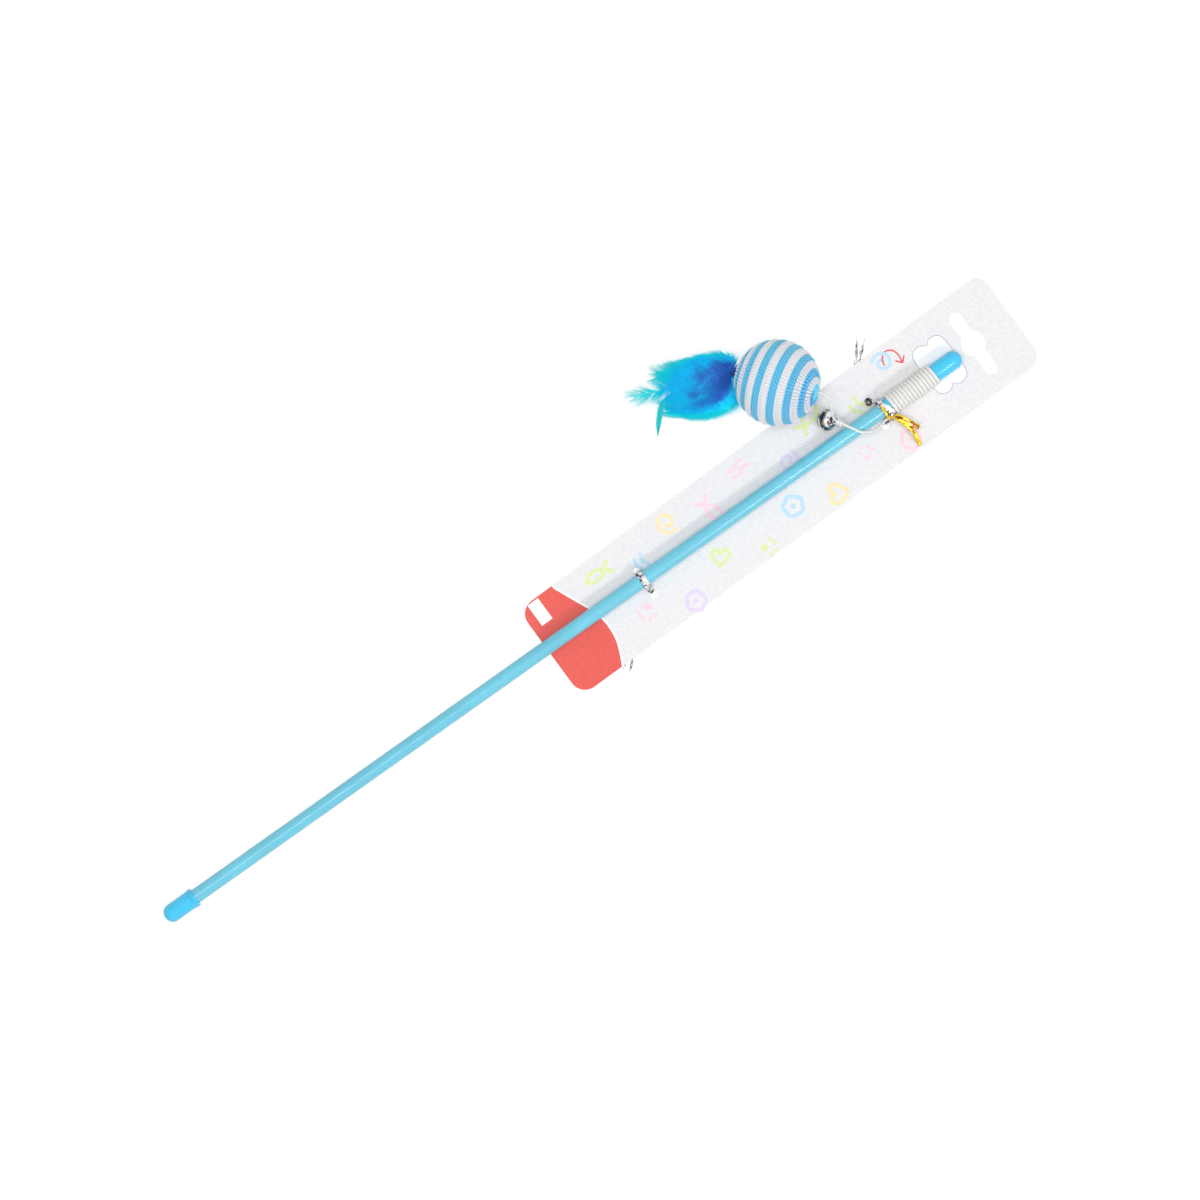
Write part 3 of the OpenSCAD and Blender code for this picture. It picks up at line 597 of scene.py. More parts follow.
# Each lamp's place, width, depth, power, and whether gloss mirrors it
LAMPS = {
    "key_lamp": ((0.6, -0.85, 1.15), 0.55, 0.16, 5.2, True),
    "top_lamp": ((*VIEW_AT, 2.3), 1.0, 1.0, 23.0, False),
    "grip_lamp": ((-0.08, 0.0, 1.5), 0.14, 0.36, 1.6, True),
}
WORLD_LIGHT = 0.45
FLOOR_HALF = 3000.0
FLOOR_LIT = 0.2
FLOOR_GLOW = 0.84
FLOOR_PLAIN = 0.8
WHITE = (1.0, 1.0, 1.0, 1.0)


class TEASER_OT_stage(bpy.types.Operator):
    """Make the camera, the lamps, the world and the floor"""
    bl_idname = "teaser.stage"
    bl_label = "Stage"

    def execute(self, context):
        scene = context.scene
        scene.view_settings.view_transform = "Standard"
        camera = bpy.data.objects.new("camera", bpy.data.cameras.new("camera"))
        camera.data.sensor_width = SENSOR
        camera.data.lens = SENSOR * VIEW_FAR / VIEW_ACROSS
        camera.location = (*VIEW_AT, VIEW_FAR)
        camera.rotation_euler = (0.0, 0.0, VIEW_TURN)
        scene.collection.objects.link(camera)
        scene.camera = camera
        for name, values in LAMPS.items():
            self.lamp(scene, name, *values)
        self.world(scene)
        self.floor()
        return {"FINISHED"}

    @staticmethod
    def lamp(scene, name, where, width, depth, power, mirrored):
        """A soft rectangular lamp that faces the object's middle."""
        data = bpy.data.lights.new(name, "AREA")
        data.shape, data.size, data.size_y, data.energy = "RECTANGLE", width, depth, power
        lamp = bpy.data.objects.new(name, data)
        lamp.location = where
        lamp.rotation_euler = (Vector((*VIEW_AT, 0.0)) - lamp.location).to_track_quat("-Z", "Y").to_euler()
        lamp.visible_camera, lamp.visible_glossy = False, mirrored
        scene.collection.objects.link(lamp)

    @staticmethod
    def seen(f):
        """One where a camera, glossy or transmission ray looks, so that the background is white there."""
        camera, glossy, through = (f.node("ShaderNodeLightPath", output=key) for key in (
            "Is Camera Ray", "Is Glossy Ray", "Is Transmission Ray"))
        return (camera + glossy + through).clamped(0.0, 1.0)

    def world(self, scene):
        """White to the camera and to mirrors, softer as a lamp."""
        f = Finish("studio", "worlds")
        strength = self.seen(f) * (1 - WORLD_LIGHT) + WORLD_LIGHT
        back = f.node("ShaderNodeBackground", {}, {"Color": WHITE, "Strength": strength})
        scene.world = f.finished(back, "ShaderNodeOutputWorld")

    def floor(self):
        """A pale floor: mostly its own white, with enough lit surface to keep the object's shadow."""
        f = Finish("studio_floor")
        lit, plain = (f.node("ShaderNodeBsdfDiffuse", {}, {"Color": (grey, grey, grey, 1.0)})
                      for grey in (FLOOR_LIT, FLOOR_PLAIN))
        glow = f.node("ShaderNodeEmission", {}, {"Color": WHITE, "Strength": FLOOR_GLOW})
        shown = f.node("ShaderNodeAddShader", {}, {0: lit, 1: glow})
        mixed = f.node("ShaderNodeMixShader", {}, {0: self.seen(f), 1: plain, 2: shown})
        x, level = FLOOR_HALF, FLOOR - 0.05
        flat = Shape().add([(-x, -x, level), (x, -x, level), (x, x, level), (-x, x, level)], [[[0, 1, 2, 3]]])
        flat.make("floor", f.finished(mixed), None, None)


# Cord. The route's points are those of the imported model, in millimetres from the wand's tip.
TIE_SIDE = [
    (-46.4, -4.8, -0.6), (-48.6, -5.4, -0.3), (-51.2, -5.9, 0.5), (-53.8, -5.6, 1.9), (-56.2, -4.2, 3.3),
    (-58.7, -2.3, 4.8)]
BALL_SIDE_START = [(-61.5, 2.3, 4.8), (-62.6, 4.3, 4.6), (-63.8, 6.4, 4.4)]
BALL_SIDE_END = [
    (-65.1, 10.2, 5.9), (-64.7, 11.9, 8.4), (-64.2, 13.8, 11.6), (-63.6, 16.0, 14.9), (-63.0, 18.6, 17.9)]
BALL_R = 20.0
POLE = BALL + BALL_AXIS * BALL_R
POLE_RUN = 3.0
# The bend's place in the route, the knot's, and how far the bend reaches to either side
BEND_AT = len(TIE_SIDE)
KNOT_AT = BEND_AT + 3
BEND_REACH = 2.6
WINDING_FROM_TIP = 15.3
WINDING_PITCH = 1.78
WINDING_TURNS = 14
WINDING_R = 4.78
WINDING_START = math.radians(200)
# Handles of the curve from the winding to the free cord, how far the cord's first end is tucked along and
# inwards, and the last stretch of the winding, over whose first part it grows round
EXIT_PULL = 3.2
TUCK = (1.0, 0.25)
LOOSE_L, ROUNDING_L = 8.0, 5.0
KNOT_TURNS, KNOT_R, KNOT_L = 2.3, 1.15, 2.6
# The end knot inside the ball: how far in it starts, its run, its depth, and its size across and along
ANCHOR_IN, ANCHOR_RUN, ANCHOR_DEPTH = 0.2, 3.4, 1.4
TREFOIL, TREFOIL_DEEP = 0.36, 0.45


def winding_path(per_turn):
    """The winding's centre line: a helix towards the grip, then a Bezier curve down beside the rod to where
    the free cord starts."""
    turn = np.linspace(0, WINDING_TURNS, WINDING_TURNS * per_turn + 1)
    a = WINDING_START - 2 * math.pi * turn
    helix = np.stack([TIP[0] - WINDING_FROM_TIP - WINDING_PITCH * turn,
                      WINDING_R * np.cos(a), WINDING_R * np.sin(a)], axis=1)
    route = TIP + np.array(TIE_SIDE)
    lead = unit(route[1] - route[0])
    last = unit(helix[-1] - helix[-2])
    t = np.linspace(0, 1, 13)[1:, None]
    run = bezier(helix[-1], helix[-1] + last * EXIT_PULL, route[0] - lead * EXIT_PULL, route[0], t)
    tuck = helix[0] - unit(helix[1] - helix[0]) * TUCK[0] - np.array([0.0, *unit(helix[0, 1:])]) * TUCK[1]
    return np.vstack([tuck, helix, run])


def lead_route():
    """The free cord's listed points, from the gold tie over the rod and by the bell into the ball."""
    return np.vstack([
        TIP + np.array(TIE_SIDE), BEND, TIP + np.array(BALL_SIDE_START), LOOP,
        TIP + np.array(BALL_SIDE_END), POLE + BALL_AXIS * POLE_RUN, POLE])


def cord_tube(path, ups, widths, thicks, sides):
    """A round or pressed cord with values for its length and the angle round it."""
    return Shape().tubes(rings(path, ups, widths, thicks, sides), along=along(path)[:, None],
                         around=np.arange(sides) / sides)


class TEASER_OT_cord(bpy.types.Operator):
    """Make the winding, the free cord, its knot and its end inside the ball"""
    bl_idname = "teaser.cord"
    bl_label = "Cord"

    def execute(self, context):
        s, finish = sizes(), elastic("elastic_cord", colours()["cord"])
        self.winding(s, finish)
        self.lead(s, finish)
        self.anchor(s, finish)
        return {"FINISHED"}

    @staticmethod
    def winding(s, finish):
        """The wound cord is pressed wider than it is thick, and is round again where it leaves the cap."""
        path = winding_path(28)
        far = along(path)
        free = np.clip((far - (far[-1] - LOOSE_L)) / ROUNDING_L, 0, 1)
        wide = s["wound_w"] * (1 - free) + s["cord_d"] * free
        piece = cord_tube(path, path * (0, 1, 1), wide, s["cord_d"], 12).make(
            "wound_cord", finish, "wand", "cord", ["cord_winding"])

    @staticmethod
    def lead(s, finish):
        """The free cord is one round tube that bends where it lies over the rod."""
        route = lead_route()
        path = evenly(smooth(route, 8), 150)
        piece = cord_tube(path, UP, s["cord_d"], s["cord_d"], 14).make(
            "free_cord", finish, None, "cord", ["cord_lead_tie_side", "cord_lead_ball_side"])
        over = unit(route[BEND_AT + 1] - BEND) * BEND_REACH
        ((BEND - over) * MM).tolist()
        ((BEND + over) * MM).tolist()
        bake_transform(piece)
        TEASER_OT_cord.knot(s, finish, route)

    @staticmethod
    def knot(s, finish, route):
        """The knot is cord wrapped twice round the free cord and tucked in at both ends."""
        axis = unit(route[KNOT_AT + 1] - route[KNOT_AT - 1])
        up = unit(UP - axis * (UP @ axis))
        t = np.linspace(0, 1, 60)[:, None]
        turn = t * 2 * math.pi * KNOT_TURNS
        reach = KNOT_R * np.sin(math.pi * np.clip(t, 0.06, 0.94)) ** 0.3
        path = route[KNOT_AT] + axis * (t - 0.5) * KNOT_L + reach * (
            up * np.cos(turn) + np.cross(axis, up) * np.sin(turn))
        thick = s["cord_d"] * 0.95
        return cord_tube(path, axis, thick, thick, 12).make(
            "cord_knot", finish, "lure_cord", "cord", ["bell_knot"])

    @staticmethod
    def anchor(s, finish):
        """Inside the ball the cord ends in an overhand knot, a trefoil seen along the ball's axis."""
        t = np.linspace(0, 2 * math.pi, 97)[:-1, None]
        x, y, z = np.sin(t) + 2 * np.sin(2 * t), np.cos(t) - 2 * np.cos(2 * t), -np.sin(3 * t)
        knot = TREFOIL * (x * BALL_UP + y * BALL_SIDE) - TREFOIL_DEEP * z * BALL_AXIS
        start = POLE - BALL_AXIS * ANCHOR_IN
        run = start - BALL_AXIS * np.linspace(0, ANCHOR_RUN, 10)[:, None]
        path = np.vstack([run, run[-1] - BALL_AXIS * ANCHOR_DEPTH + knot])
        path = evenly(smooth(path[::2], 4), 160)
        thick = s["cord_d"] * 0.9
        cord_tube(path, UP, thick, thick, 10).make(
            "cord_end_knot", finish, "cord_end", "cord", ["cord_anchor"])


# Rod and caps
CAP_R = 4.4
CAP_BORE = 3.53
GRIP_CAP_L = 17.0
TIP_CAP_L = 41.5
CAP_WALL = 2.0
DOME_H = 3.5
RIM_L = 2.0
RIM_OUT = 0.25
LIP_ROUND = 0.3
WAIST_IN = 0.25
WAIST_FROM_TIP = WINDING_FROM_TIP - 0.6
WAIST_FALL = 0.5
GROOVE = 0.05


def cap_profile(length, waist):
    """Outline of a cap from its domed end: a spherical cap, the straight side, a rounded rim or a waist that
    the cord's turns have pressed in, and back down the bore."""
    dome_r = (CAP_R ** 2 + DOME_H ** 2) / (2 * DOME_H)
    last = math.asin(CAP_R / dome_r)
    a = np.linspace(0.0, last, 14)
    dome = np.stack([dome_r * (1 - np.cos(a)), dome_r * np.sin(a)], axis=1)
    dome[0, 1] = POLE_R
    if waist < length:
        x = np.linspace(waist, length - 0.15, 120)
        groove = 0.5 + 0.5 * np.cos(2 * math.pi * (x - WINDING_FROM_TIP) / WINDING_PITCH)
        lip = CAP_R - WAIST_IN
        side = np.vstack([[waist - WAIST_FALL, CAP_R], [waist - WAIST_FALL / 2, CAP_R - GROOVE],
                          np.stack([x, lip - GROOVE * groove], axis=1)])
    else:
        edge = np.linspace(0, math.pi / 2, 6)
        lip = CAP_R + RIM_OUT
        rise = np.stack([length - RIM_L + RIM_OUT * np.sin(edge) - RIM_OUT,
                         CAP_R + RIM_OUT * (1 - np.cos(edge))], axis=1)
        fall = np.stack([length - LIP_ROUND + LIP_ROUND * np.sin(edge),
                         lip - LIP_ROUND * (1 - np.cos(edge))], axis=1)
        side = np.vstack([rise, fall])
        lip -= LIP_ROUND
    mouth = [[length, lip - 0.15], [length, CAP_BORE + 0.1], [length - 0.1, CAP_BORE], [CAP_WALL, CAP_BORE],
             [CAP_WALL, POLE_R]]
    return np.vstack([dome, side, mouth])


class TEASER_OT_rod(bpy.types.Operator):
    """Make the end caps and finish the rod"""
    bl_idname = "teaser.rod"
    bl_label = "Rod and caps"

    def execute(self, context):
        c = colours()
        dress("wand_tube", soft_plastic(
            "milky_rod", c["rod"], roughness=0.3, glow=0.5, gloss=0.6, grain_mm=0.001))
        soft = soft_plastic("soft_cap", c["cap"], roughness=0.42, glow=0.15, gloss=0.6, grain_mm=0.003)
        x = np.array([1.0, 0.0, 0.0])
        grip = np.array([GRIP_TIP_X, 0.0, 0.0])
        Shape().turned(cap_profile(GRIP_CAP_L, GRIP_CAP_L), grip, x, UP, 72).make(
            "soft_grip_cap", soft, "wand", "cap", ["grip_cap"])
        Shape().turned(cap_profile(TIP_CAP_L, WAIST_FROM_TIP), TIP, -x, UP, 72).make(
            "soft_tip_cap", soft, "wand", "cap", ["tip_cap"])
        return {"FINISHED"}


# Ball. Each strand starts and ends at an angle from the poles of the cord and the feathers.
STRAND_T = 2.3
STRAND_MID_R = BALL_R - STRAND_T / 2
STRAND_TURNS = 7
CORD_POLE = math.radians(10)
FEATHER_POLE = math.radians(14)
POLES_APART = math.pi - CORD_POLE - FEATHER_POLE
START_WIDTH = 0.62
# The body that shows between the stitches: its share of the width, its thickness and how deep it lies
BODY_WIDTH, BODY_T, BODY_IN = 0.96, 1.7, 0.2
# Columns of stitches. At five places along a stitch's yarn: how much of the gaps' painted shade it has,
# most at the ends where it dives, and its share of the yarn's thickness.
COLUMNS = 3
STITCH_END_SHADE = np.array([1.0, 0.45, 0.0, 0.0, 0.5])
YARN_SHARES = np.array([0.5, 0.9, 1.0, 0.9, 0.5])
# A stitch goes from behind its place to ahead of it, in stitch lengths, and from near its column's edge
# inwards, in column widths. It rises by an arc over its depth at the two ends.
STITCH_BACK, STITCH_AHEAD = 0.3, 1.12
STITCH_EDGE, STITCH_INWARD = 0.44, 0.33
STITCH_ARC, STITCH_DEPTH, STITCH_START_DEPTH = 0.3, 0.1, 0.12
# How much lower the outer columns lie, as the strand's edges curve down
COLUMN_FALL = 0.34
# The curl at the cord's pole: its turns before and after it sinks, its inner radius, how much it opens in
# its first part and in each later turn, its height over the ball's middle with its rises in the middle and
# at the start, how deep it sinks in what share of a turn, the radius that it follows, and the length in
# which its yarns go once round each other
CURL_TURNS, CURL_SUNK_TURNS, CURL_START = 1.5, 2.0, 0.1
CURL_R, CURL_OPENS, CURL_PITCH = 1.15, 1.15, 1.3
CURL_UP, CURL_ARC, CURL_END_UP = 18.9, 0.55, 0.35
CURL_SINK, CURL_SINK_TURN = 0.3, 0.6
CURL_LEVEL = 19.0
CURL_TWIST_L = 2.4


def strand_frame(share, start):
    """Outward and forward unit vectors of a strand at shares of its length in turns: it winds from pole to
    pole on a sphere, with the polar angle rising evenly."""
    polar = CORD_POLE + POLES_APART * share
    turn = start + 2 * math.pi * STRAND_TURNS * share
    flat = BALL_UP * np.cos(turn)[..., None] + BALL_SIDE * np.sin(turn)[..., None]
    out = BALL_AXIS * np.cos(polar)[..., None] + flat * np.sin(polar)[..., None]
    rate = POLES_APART / (2 * math.pi * STRAND_TURNS)
    about = -BALL_UP * np.sin(turn)[..., None] + BALL_SIDE * np.cos(turn)[..., None]
    away = -BALL_AXIS * np.sin(polar)[..., None] + flat * np.cos(polar)[..., None]
    return out, unit(about * np.sin(polar)[..., None] + away * rate)


def strand_shares(step):
    """Shares in turns at equal distances along a strand, and the strand's length."""
    fine = np.linspace(0, 1, 4001)
    out, _ = strand_frame(fine, 0.0)
    far = along(out * STRAND_MID_R)
    at = np.arange(0.8, far[-1] - 1.0, step)
    return np.interp(at, far, fine), far[-1]


def strand_width(share, s):
    """A strand's width: narrow where it starts, and full after half a turn, by a smooth step."""
    t = np.clip(share * STRAND_TURNS / 0.5, 0, 1)
    return s["strand_w"] * (START_WIDTH + (1 - START_WIDTH) * t * t * (3 - 2 * t))


def from_axis(points):
    """Distances of points, given from the ball's middle, from its axis."""
    return np.linalg.norm(np.cross(points, BALL_AXIS), axis=-1)


def stitched(start, s, full):
    """The stitches of a strand: columns of V shapes, two short bent yarns each. Each yarn runs from the
    column's edge to its middle while it goes one stitch ahead, and is highest half way. It is thicker where
    the strand's turn is wider than at its middle. Full is the yarn's share of its full diameter, and thinner
    yarn leaves wider gaps."""
    shares, length = strand_shares(s["stitch_l"])
    column_w = strand_width(shares, s)[:, None] / COLUMNS
    t = np.linspace(0, 1, 5)
    ahead_mm = s["stitch_l"] * (STITCH_AHEAD * t - STITCH_BACK)
    lift_mm = STITCH_ARC * np.sin(math.pi * t) - STITCH_DEPTH - STITCH_START_DEPTH * (1 - t)
    shape = Shape()
    for column in range(COLUMNS):
        middle = column - (COLUMNS - 1) / 2
        for leg in (-1, 1):
            at = shares[:, None] + ahead_mm / length
            out, ahead = strand_frame(at, start)
            across = np.cross(ahead, out)
            shift = column_w * (middle + leg * (STITCH_EDGE - STITCH_INWARD * t ** 1.3))
            fall = COLUMN_FALL * abs(middle) ** 2
            radius = BALL_R - s["yarn_d"] * 0.45 + lift_mm - fall - shift ** 2 / (2 * BALL_R)
            spot = out * radius[..., None] + across * shift[..., None]
            spread = from_axis(spot) / from_axis(out * radius[..., None])
            thick = YARN_SHARES * full * s["yarn_d"] * spread * (column_w * COLUMNS / s["strand_w"])
            shape.tubes(rings(BALL + spot, out, thick, thick * 0.9, 6), deep=STITCH_END_SHADE[:, None])
    return shape


def strand_body(start, s):
    """The body of a strand under its stitches: a flattened tube."""
    share = np.linspace(0, 1, 560)
    out, _ = strand_frame(share, start)
    path = BALL + out * (STRAND_MID_R - BODY_IN)
    wide = strand_width(share, s) * BODY_WIDTH
    wide[[0, -1]] *= 0.6
    return Shape().tubes(rings(path, out, wide, BODY_T, 10), deep=1.0)


def pole_curl(shape, s):
    """The blue strand's end at the cord's pole: a spiral round the cord, of two yarns that twist about each
    other, with a hump by a half sine. It then sinks and goes on outwards on a sphere over the core, where it
    fills the gaps beside the strands' starts."""
    turn = np.linspace(0, CURL_TURNS + CURL_SUNK_TURNS, 350)[:, None]
    t, more = np.clip(turn / CURL_TURNS, 0, 1), np.clip(turn - CURL_TURNS, 0, None)
    inner = CURL_R + CURL_OPENS * t
    reach = inner + CURL_PITCH * more
    rise = CURL_UP + CURL_ARC * np.sin(math.pi * np.clip(t * 1.25, 0, 1)) + CURL_END_UP * (1 - t)
    rise += np.sqrt(CURL_LEVEL ** 2 - reach ** 2) - np.sqrt(CURL_LEVEL ** 2 - inner ** 2)
    rise -= CURL_SINK * np.clip(more / CURL_SINK_TURN, 0, 1)
    a = 2 * math.pi * (CURL_START + turn)
    middle = BALL + BALL_AXIS * rise + reach * (BALL_UP * np.cos(a) + BALL_SIDE * np.sin(a))
    _, up, side = axes(middle, BALL_AXIS)
    twist = along(middle)[:, None] * 2 * math.pi / CURL_TWIST_L
    thick = s["yarn_d"] * 1.25
    for half in (0, math.pi):
        path = middle + s["yarn_d"] * 0.42 * (side * np.cos(twist + half) + up * np.sin(twist + half))
        shape.tubes(rings(path, up, thick, thick, 8), deep=0.0)


class TEASER_OT_ball(bpy.types.Operator):
    """Make the knitted strands round the ball and finish its core"""
    bl_idname = "teaser.ball"
    bl_label = "Ball"

    def execute(self, context):
        c, s = colours(), sizes()
        for tone, start, full in (("blue", 0.0, 0.74), ("white", math.pi, 1.0)):
            colour, gap = c[tone + "_yarn"], c[tone + "_gap"]
            place_of = ("ball", "strand_" + tone, ["ball_wrap_" + tone])
            # The strand's body, seen only between the stitches, is painted in the gaps' shade colour and
            # darker still in random patches: a sheet that stands for the shade there
            strand_body(start, s).make(
                "strand_body_" + tone, yarn("gaps_" + tone, gap, shade(gap, 0.7), gap), *place_of)
            stitches = stitched(start, s, full)
            if tone == "blue":
                pole_curl(stitches, s)
            stitches.make(
                "stitches_" + tone, yarn("yarn_" + tone, colour, shade(colour, 0.86), gap), *place_of)
        dress("ball_core", grained("foamed_core", paint(226, 228, 232), 0.6))
        return {"FINISHED"}


# Feathers. The quills are seated in a short binding, and the shafts start from its face.
BINDING_OUT = 1.5
BINDING_L = 7.0
BINDING_R = 2.3
THREAD_PITCH = 0.5
QUILL_GAP = 0.2
FACE = BALL - BALL_AXIS * (BALL_R + BINDING_OUT)
QUILL_OFF = 1.4
QUILL_RUN = 1.5
# Each plume's length, the angle of its quill, its thickness, and its route from the face in shares of its
# length, along, up and sideways
PLUMES = {
    "plume_long": (48.0, 0.0, 7.0, [
        (-0.08, 0.05, 0.05), (-0.22, 0.11, 0.12), (-0.43, 0.18, 0.13), (-0.64, 0.25, 0.05),
        (-0.8, 0.31, -0.03), (-0.92, 0.36, -0.08)]),
    "plume_left": (38.0, 110.0, 6.0, [
        (-0.08, -0.02, -0.1), (-0.22, -0.13, -0.15), (-0.41, -0.15, -0.17), (-0.62, -0.12, -0.18),
        (-0.8, -0.02, -0.21), (-0.91, 0.06, -0.23)]),
    "plume_right": (36.0, 250.0, 6.0, [
        (-0.06, 0.1, -0.11), (-0.15, 0.21, -0.18), (-0.32, 0.3, -0.19), (-0.51, 0.37, -0.2),
        (-0.68, 0.45, -0.23), (-0.79, 0.53, -0.26)]),
}
# How far the down reaches on the left and on the right of each shaft, in millimetres at equal steps along
# it, the share of the shaft that matted down covers, and how much paler the left and right edges are
DOWN = {
    "plume_long": (
        [5.0, 7.0, 8.0, 8.0, 7.0, 5.0, 4.0, 3.0],
        [5.0, 8.0, 9.0, 9.0, 7.0, 5.0, 4.0, 3.0], 0.62, (0.15, -0.05)),
    "plume_left": (
        [5.0, 7.0, 9.0, 9.0, 9.0, 8.0, 6.0, 4.0],
        [5.0, 8.0, 8.0, 6.0, 4.0, 2.5, 2.0, 1.5], 0.9, (-0.12, 0.5)),
    "plume_right": (
        [6.5, 6.5, 5.5, 5.0, 5.5, 6.0, 5.0, 3.5],
        [4.0, 6.0, 7.0, 7.0, 7.0, 6.0, 5.0, 3.0], 0.75, (0.55, 0.0)),
}
DEPTH_SHARES = [0.5, 0.8, 1.0, 1.0, 0.95, 0.8, 0.6, 0.3]
DOWN_START = 0.02
# Strength of the painted glow that the down's emission gives in its own colour
DOWN_PAINTED_GLOW = 0.3
# Barbs in a tuft, the share of the tufts that stand on the dense part, how far tufts gather to the sides,
# and how far past the down's reach their barbs end
TUFT = 12
DENSE_TUFTS = 0.93
GATHER = 0.38
BARB_REACH = 1.08
# Share of the down's reach that the matted body fills, its rings and their points
MATTED_REACH, MATTED_RINGS, MATTED_SIDES = 0.92, 110, 44
HACKLE_L = 47.0
HACKLE_W = 2.9
HACKLE_T = 0.34
HACKLE_ROUTE = [
    (-0.18, 0.07, -0.01), (-0.43, 0.14, -0.02), (-0.65, 0.16, -0.03), (-0.76, 0.14, -0.04),
    (-0.87, 0.04, -0.07), (-0.97, -0.08, -0.11)]
HACKLE_SHARES = [0.2, 0.2, 0.2, 0.3, 0.5, 0.75, 0.95, 1.0, 0.85, 0.1]
FIRST_SEED = 40


def shaft(length, turn, off, route, count=120):
    """A feather's shaft: straight out of the binding, then along its route, as evenly spaced points."""
    a = math.radians(turn)
    seat = FACE - BALL_AXIS * QUILL_GAP + (BALL_UP * math.cos(a) + BALL_SIDE * math.sin(a)) * off
    points = np.vstack([seat, seat - BALL_AXIS * QUILL_RUN, FACE + np.array(route) * length])
    return evenly(smooth(points, 12), count)


def on_shaft(values, t):
    """Values given at equal steps along a shaft, read at shares t of it."""
    at = np.linspace(0, 1, len(values))
    return np.stack([np.interp(t, at, values[:, k]) for k in range(values.shape[1])], axis=-1)


def shaft_axes(path, t):
    """A shaft's points at shares t of it, and its unit vectors ahead, up and sideways there."""
    ahead = unit(on_shaft(np.gradient(path, axis=0), t))
    up = unit(UP - ahead * (ahead @ UP)[:, None])
    return on_shaft(path, t), ahead, up, np.cross(ahead, up)


def reaches(name, thick, t):
    """How far a plume's down reaches to the left, to the right and above its shaft, at shares t of it."""
    left, right = DOWN[name][:2]
    at = np.linspace(0, 1, len(left))
    return np.interp(t, at, left), np.interp(t, at, right), np.interp(t, at, DEPTH_SHARES) * thick / 2


def fullness(name, t):
    """How full the matted down is at shares t of the shaft: drawn in at both ends by a power of a sine."""
    share = np.clip((t - DOWN_START) / (DOWN[name][2] - DOWN_START), 0, 1)
    return np.sin(math.pi * (0.08 + 0.87 * share)) ** 0.45


def swept(t):
    """The share of their forward sweep that barbs have at shares t of the shaft. It goes to below nought at
    the root, where they are pushed back against the ball, by an exponential."""
    return 1 - 1.7 * np.exp(-t / 0.045)


def outness(points):
    """How far out points are from the bound quills, from 0 to 1: by a power of the distance, and faster
    past 33 mm for the wisps."""
    far = np.linalg.norm(points - FACE, axis=-1)
    return (far / 42.0) ** 1.3 * 0.55 + np.clip((far - 33.0) / 12.0, 0, 1) * 0.25


def barbs(rng, path, name, count, thick, s):
    """Barbs of a plume, in tufts. A tuft has a place along the shaft and an angle round it. Its barbs leave
    the matted down near that place, reach out past half an ellipse on either side of the shaft, draw together
    and sweep towards the tip, with a seeded curl. Few tufts stand past the plume's dense share. Each barb is
    a thin three-sided tapering tube."""
    tufts, dense = count // TUFT, DOWN[name][2]
    first = rng.random(tufts)
    sparse = dense + (first - DENSE_TUFTS) / (1 - DENSE_TUFTS) * (1 - dense)
    first = np.where(first < DENSE_TUFTS, first / DENSE_TUFTS * dense, sparse)
    angle = rng.uniform(0, 2 * math.pi, tufts)
    angle -= GATHER * np.sin(2 * angle)
    size = 1 + rng.normal(0, 0.09, tufts)
    first, angle, size = (np.repeat(x, TUFT) for x in (first, angle, size))
    n = len(first)
    t = np.clip(first + rng.normal(0, 0.016, n), 0.0, 1.0) * 0.97 + 0.015
    root, ahead, up, side = (x[:, None] for x in shaft_axes(path, t))
    left, right, half_t = reaches(name, thick, t)
    half_w = np.where(np.cos(angle) > 0, left, right)
    grown = size * (1 + rng.normal(0, 0.08, n))
    u = np.linspace(0, 1, 5)
    turn = angle[:, None] + rng.normal(0, 0.4, n)[:, None] * (1 - u) + rng.normal(0, 0.16, n)[:, None] * u
    inner = np.where(t < dense, 0.85 * fullness(name, t), 0.0)[:, None]
    reach = inner + (BARB_REACH * grown[:, None] - inner) * (1.15 * u - 0.15 * u ** 3)
    sweep = ((2.0 + 0.5 * half_w * rng.uniform(0.6, 1.4, n) + 3.0 * t) * swept(t))[:, None] * u ** 1.2
    curl = rng.normal(0, 0.3, n)[:, None] * np.sin(u * rng.uniform(3, 8, n)[:, None]) * u
    half_w, half_t = half_w[:, None], half_t[:, None]
    flat, rise = np.cos(turn) * half_w, np.sin(turn) * half_t
    points = root + side * (flat * reach + curl)[..., None] \
        + up * (rise * reach + curl * 0.4)[..., None] + ahead * (sweep + curl * 0.6)[..., None]
    ups = side * (np.cos(turn) / half_w)[..., None] + up * (np.sin(turn) / half_t)[..., None]
    width = s["barb_w"] * (1.0 - 0.9 * u ** 1.5) * rng.uniform(0.7, 1.25, n)[:, None]
    ring_points = rings(points, ups, width, width * 0.6, 3)
    tint = np.broadcast_to(rng.random(n)[:, None], points.shape[:2])
    pale = np.where(np.cos(turn) > 0, *DOWN[name][3]) * np.abs(np.cos(turn))
    return ring_points, outness(points) + pale * (0.5 + 0.5 * u) + 0.12 * u, tint


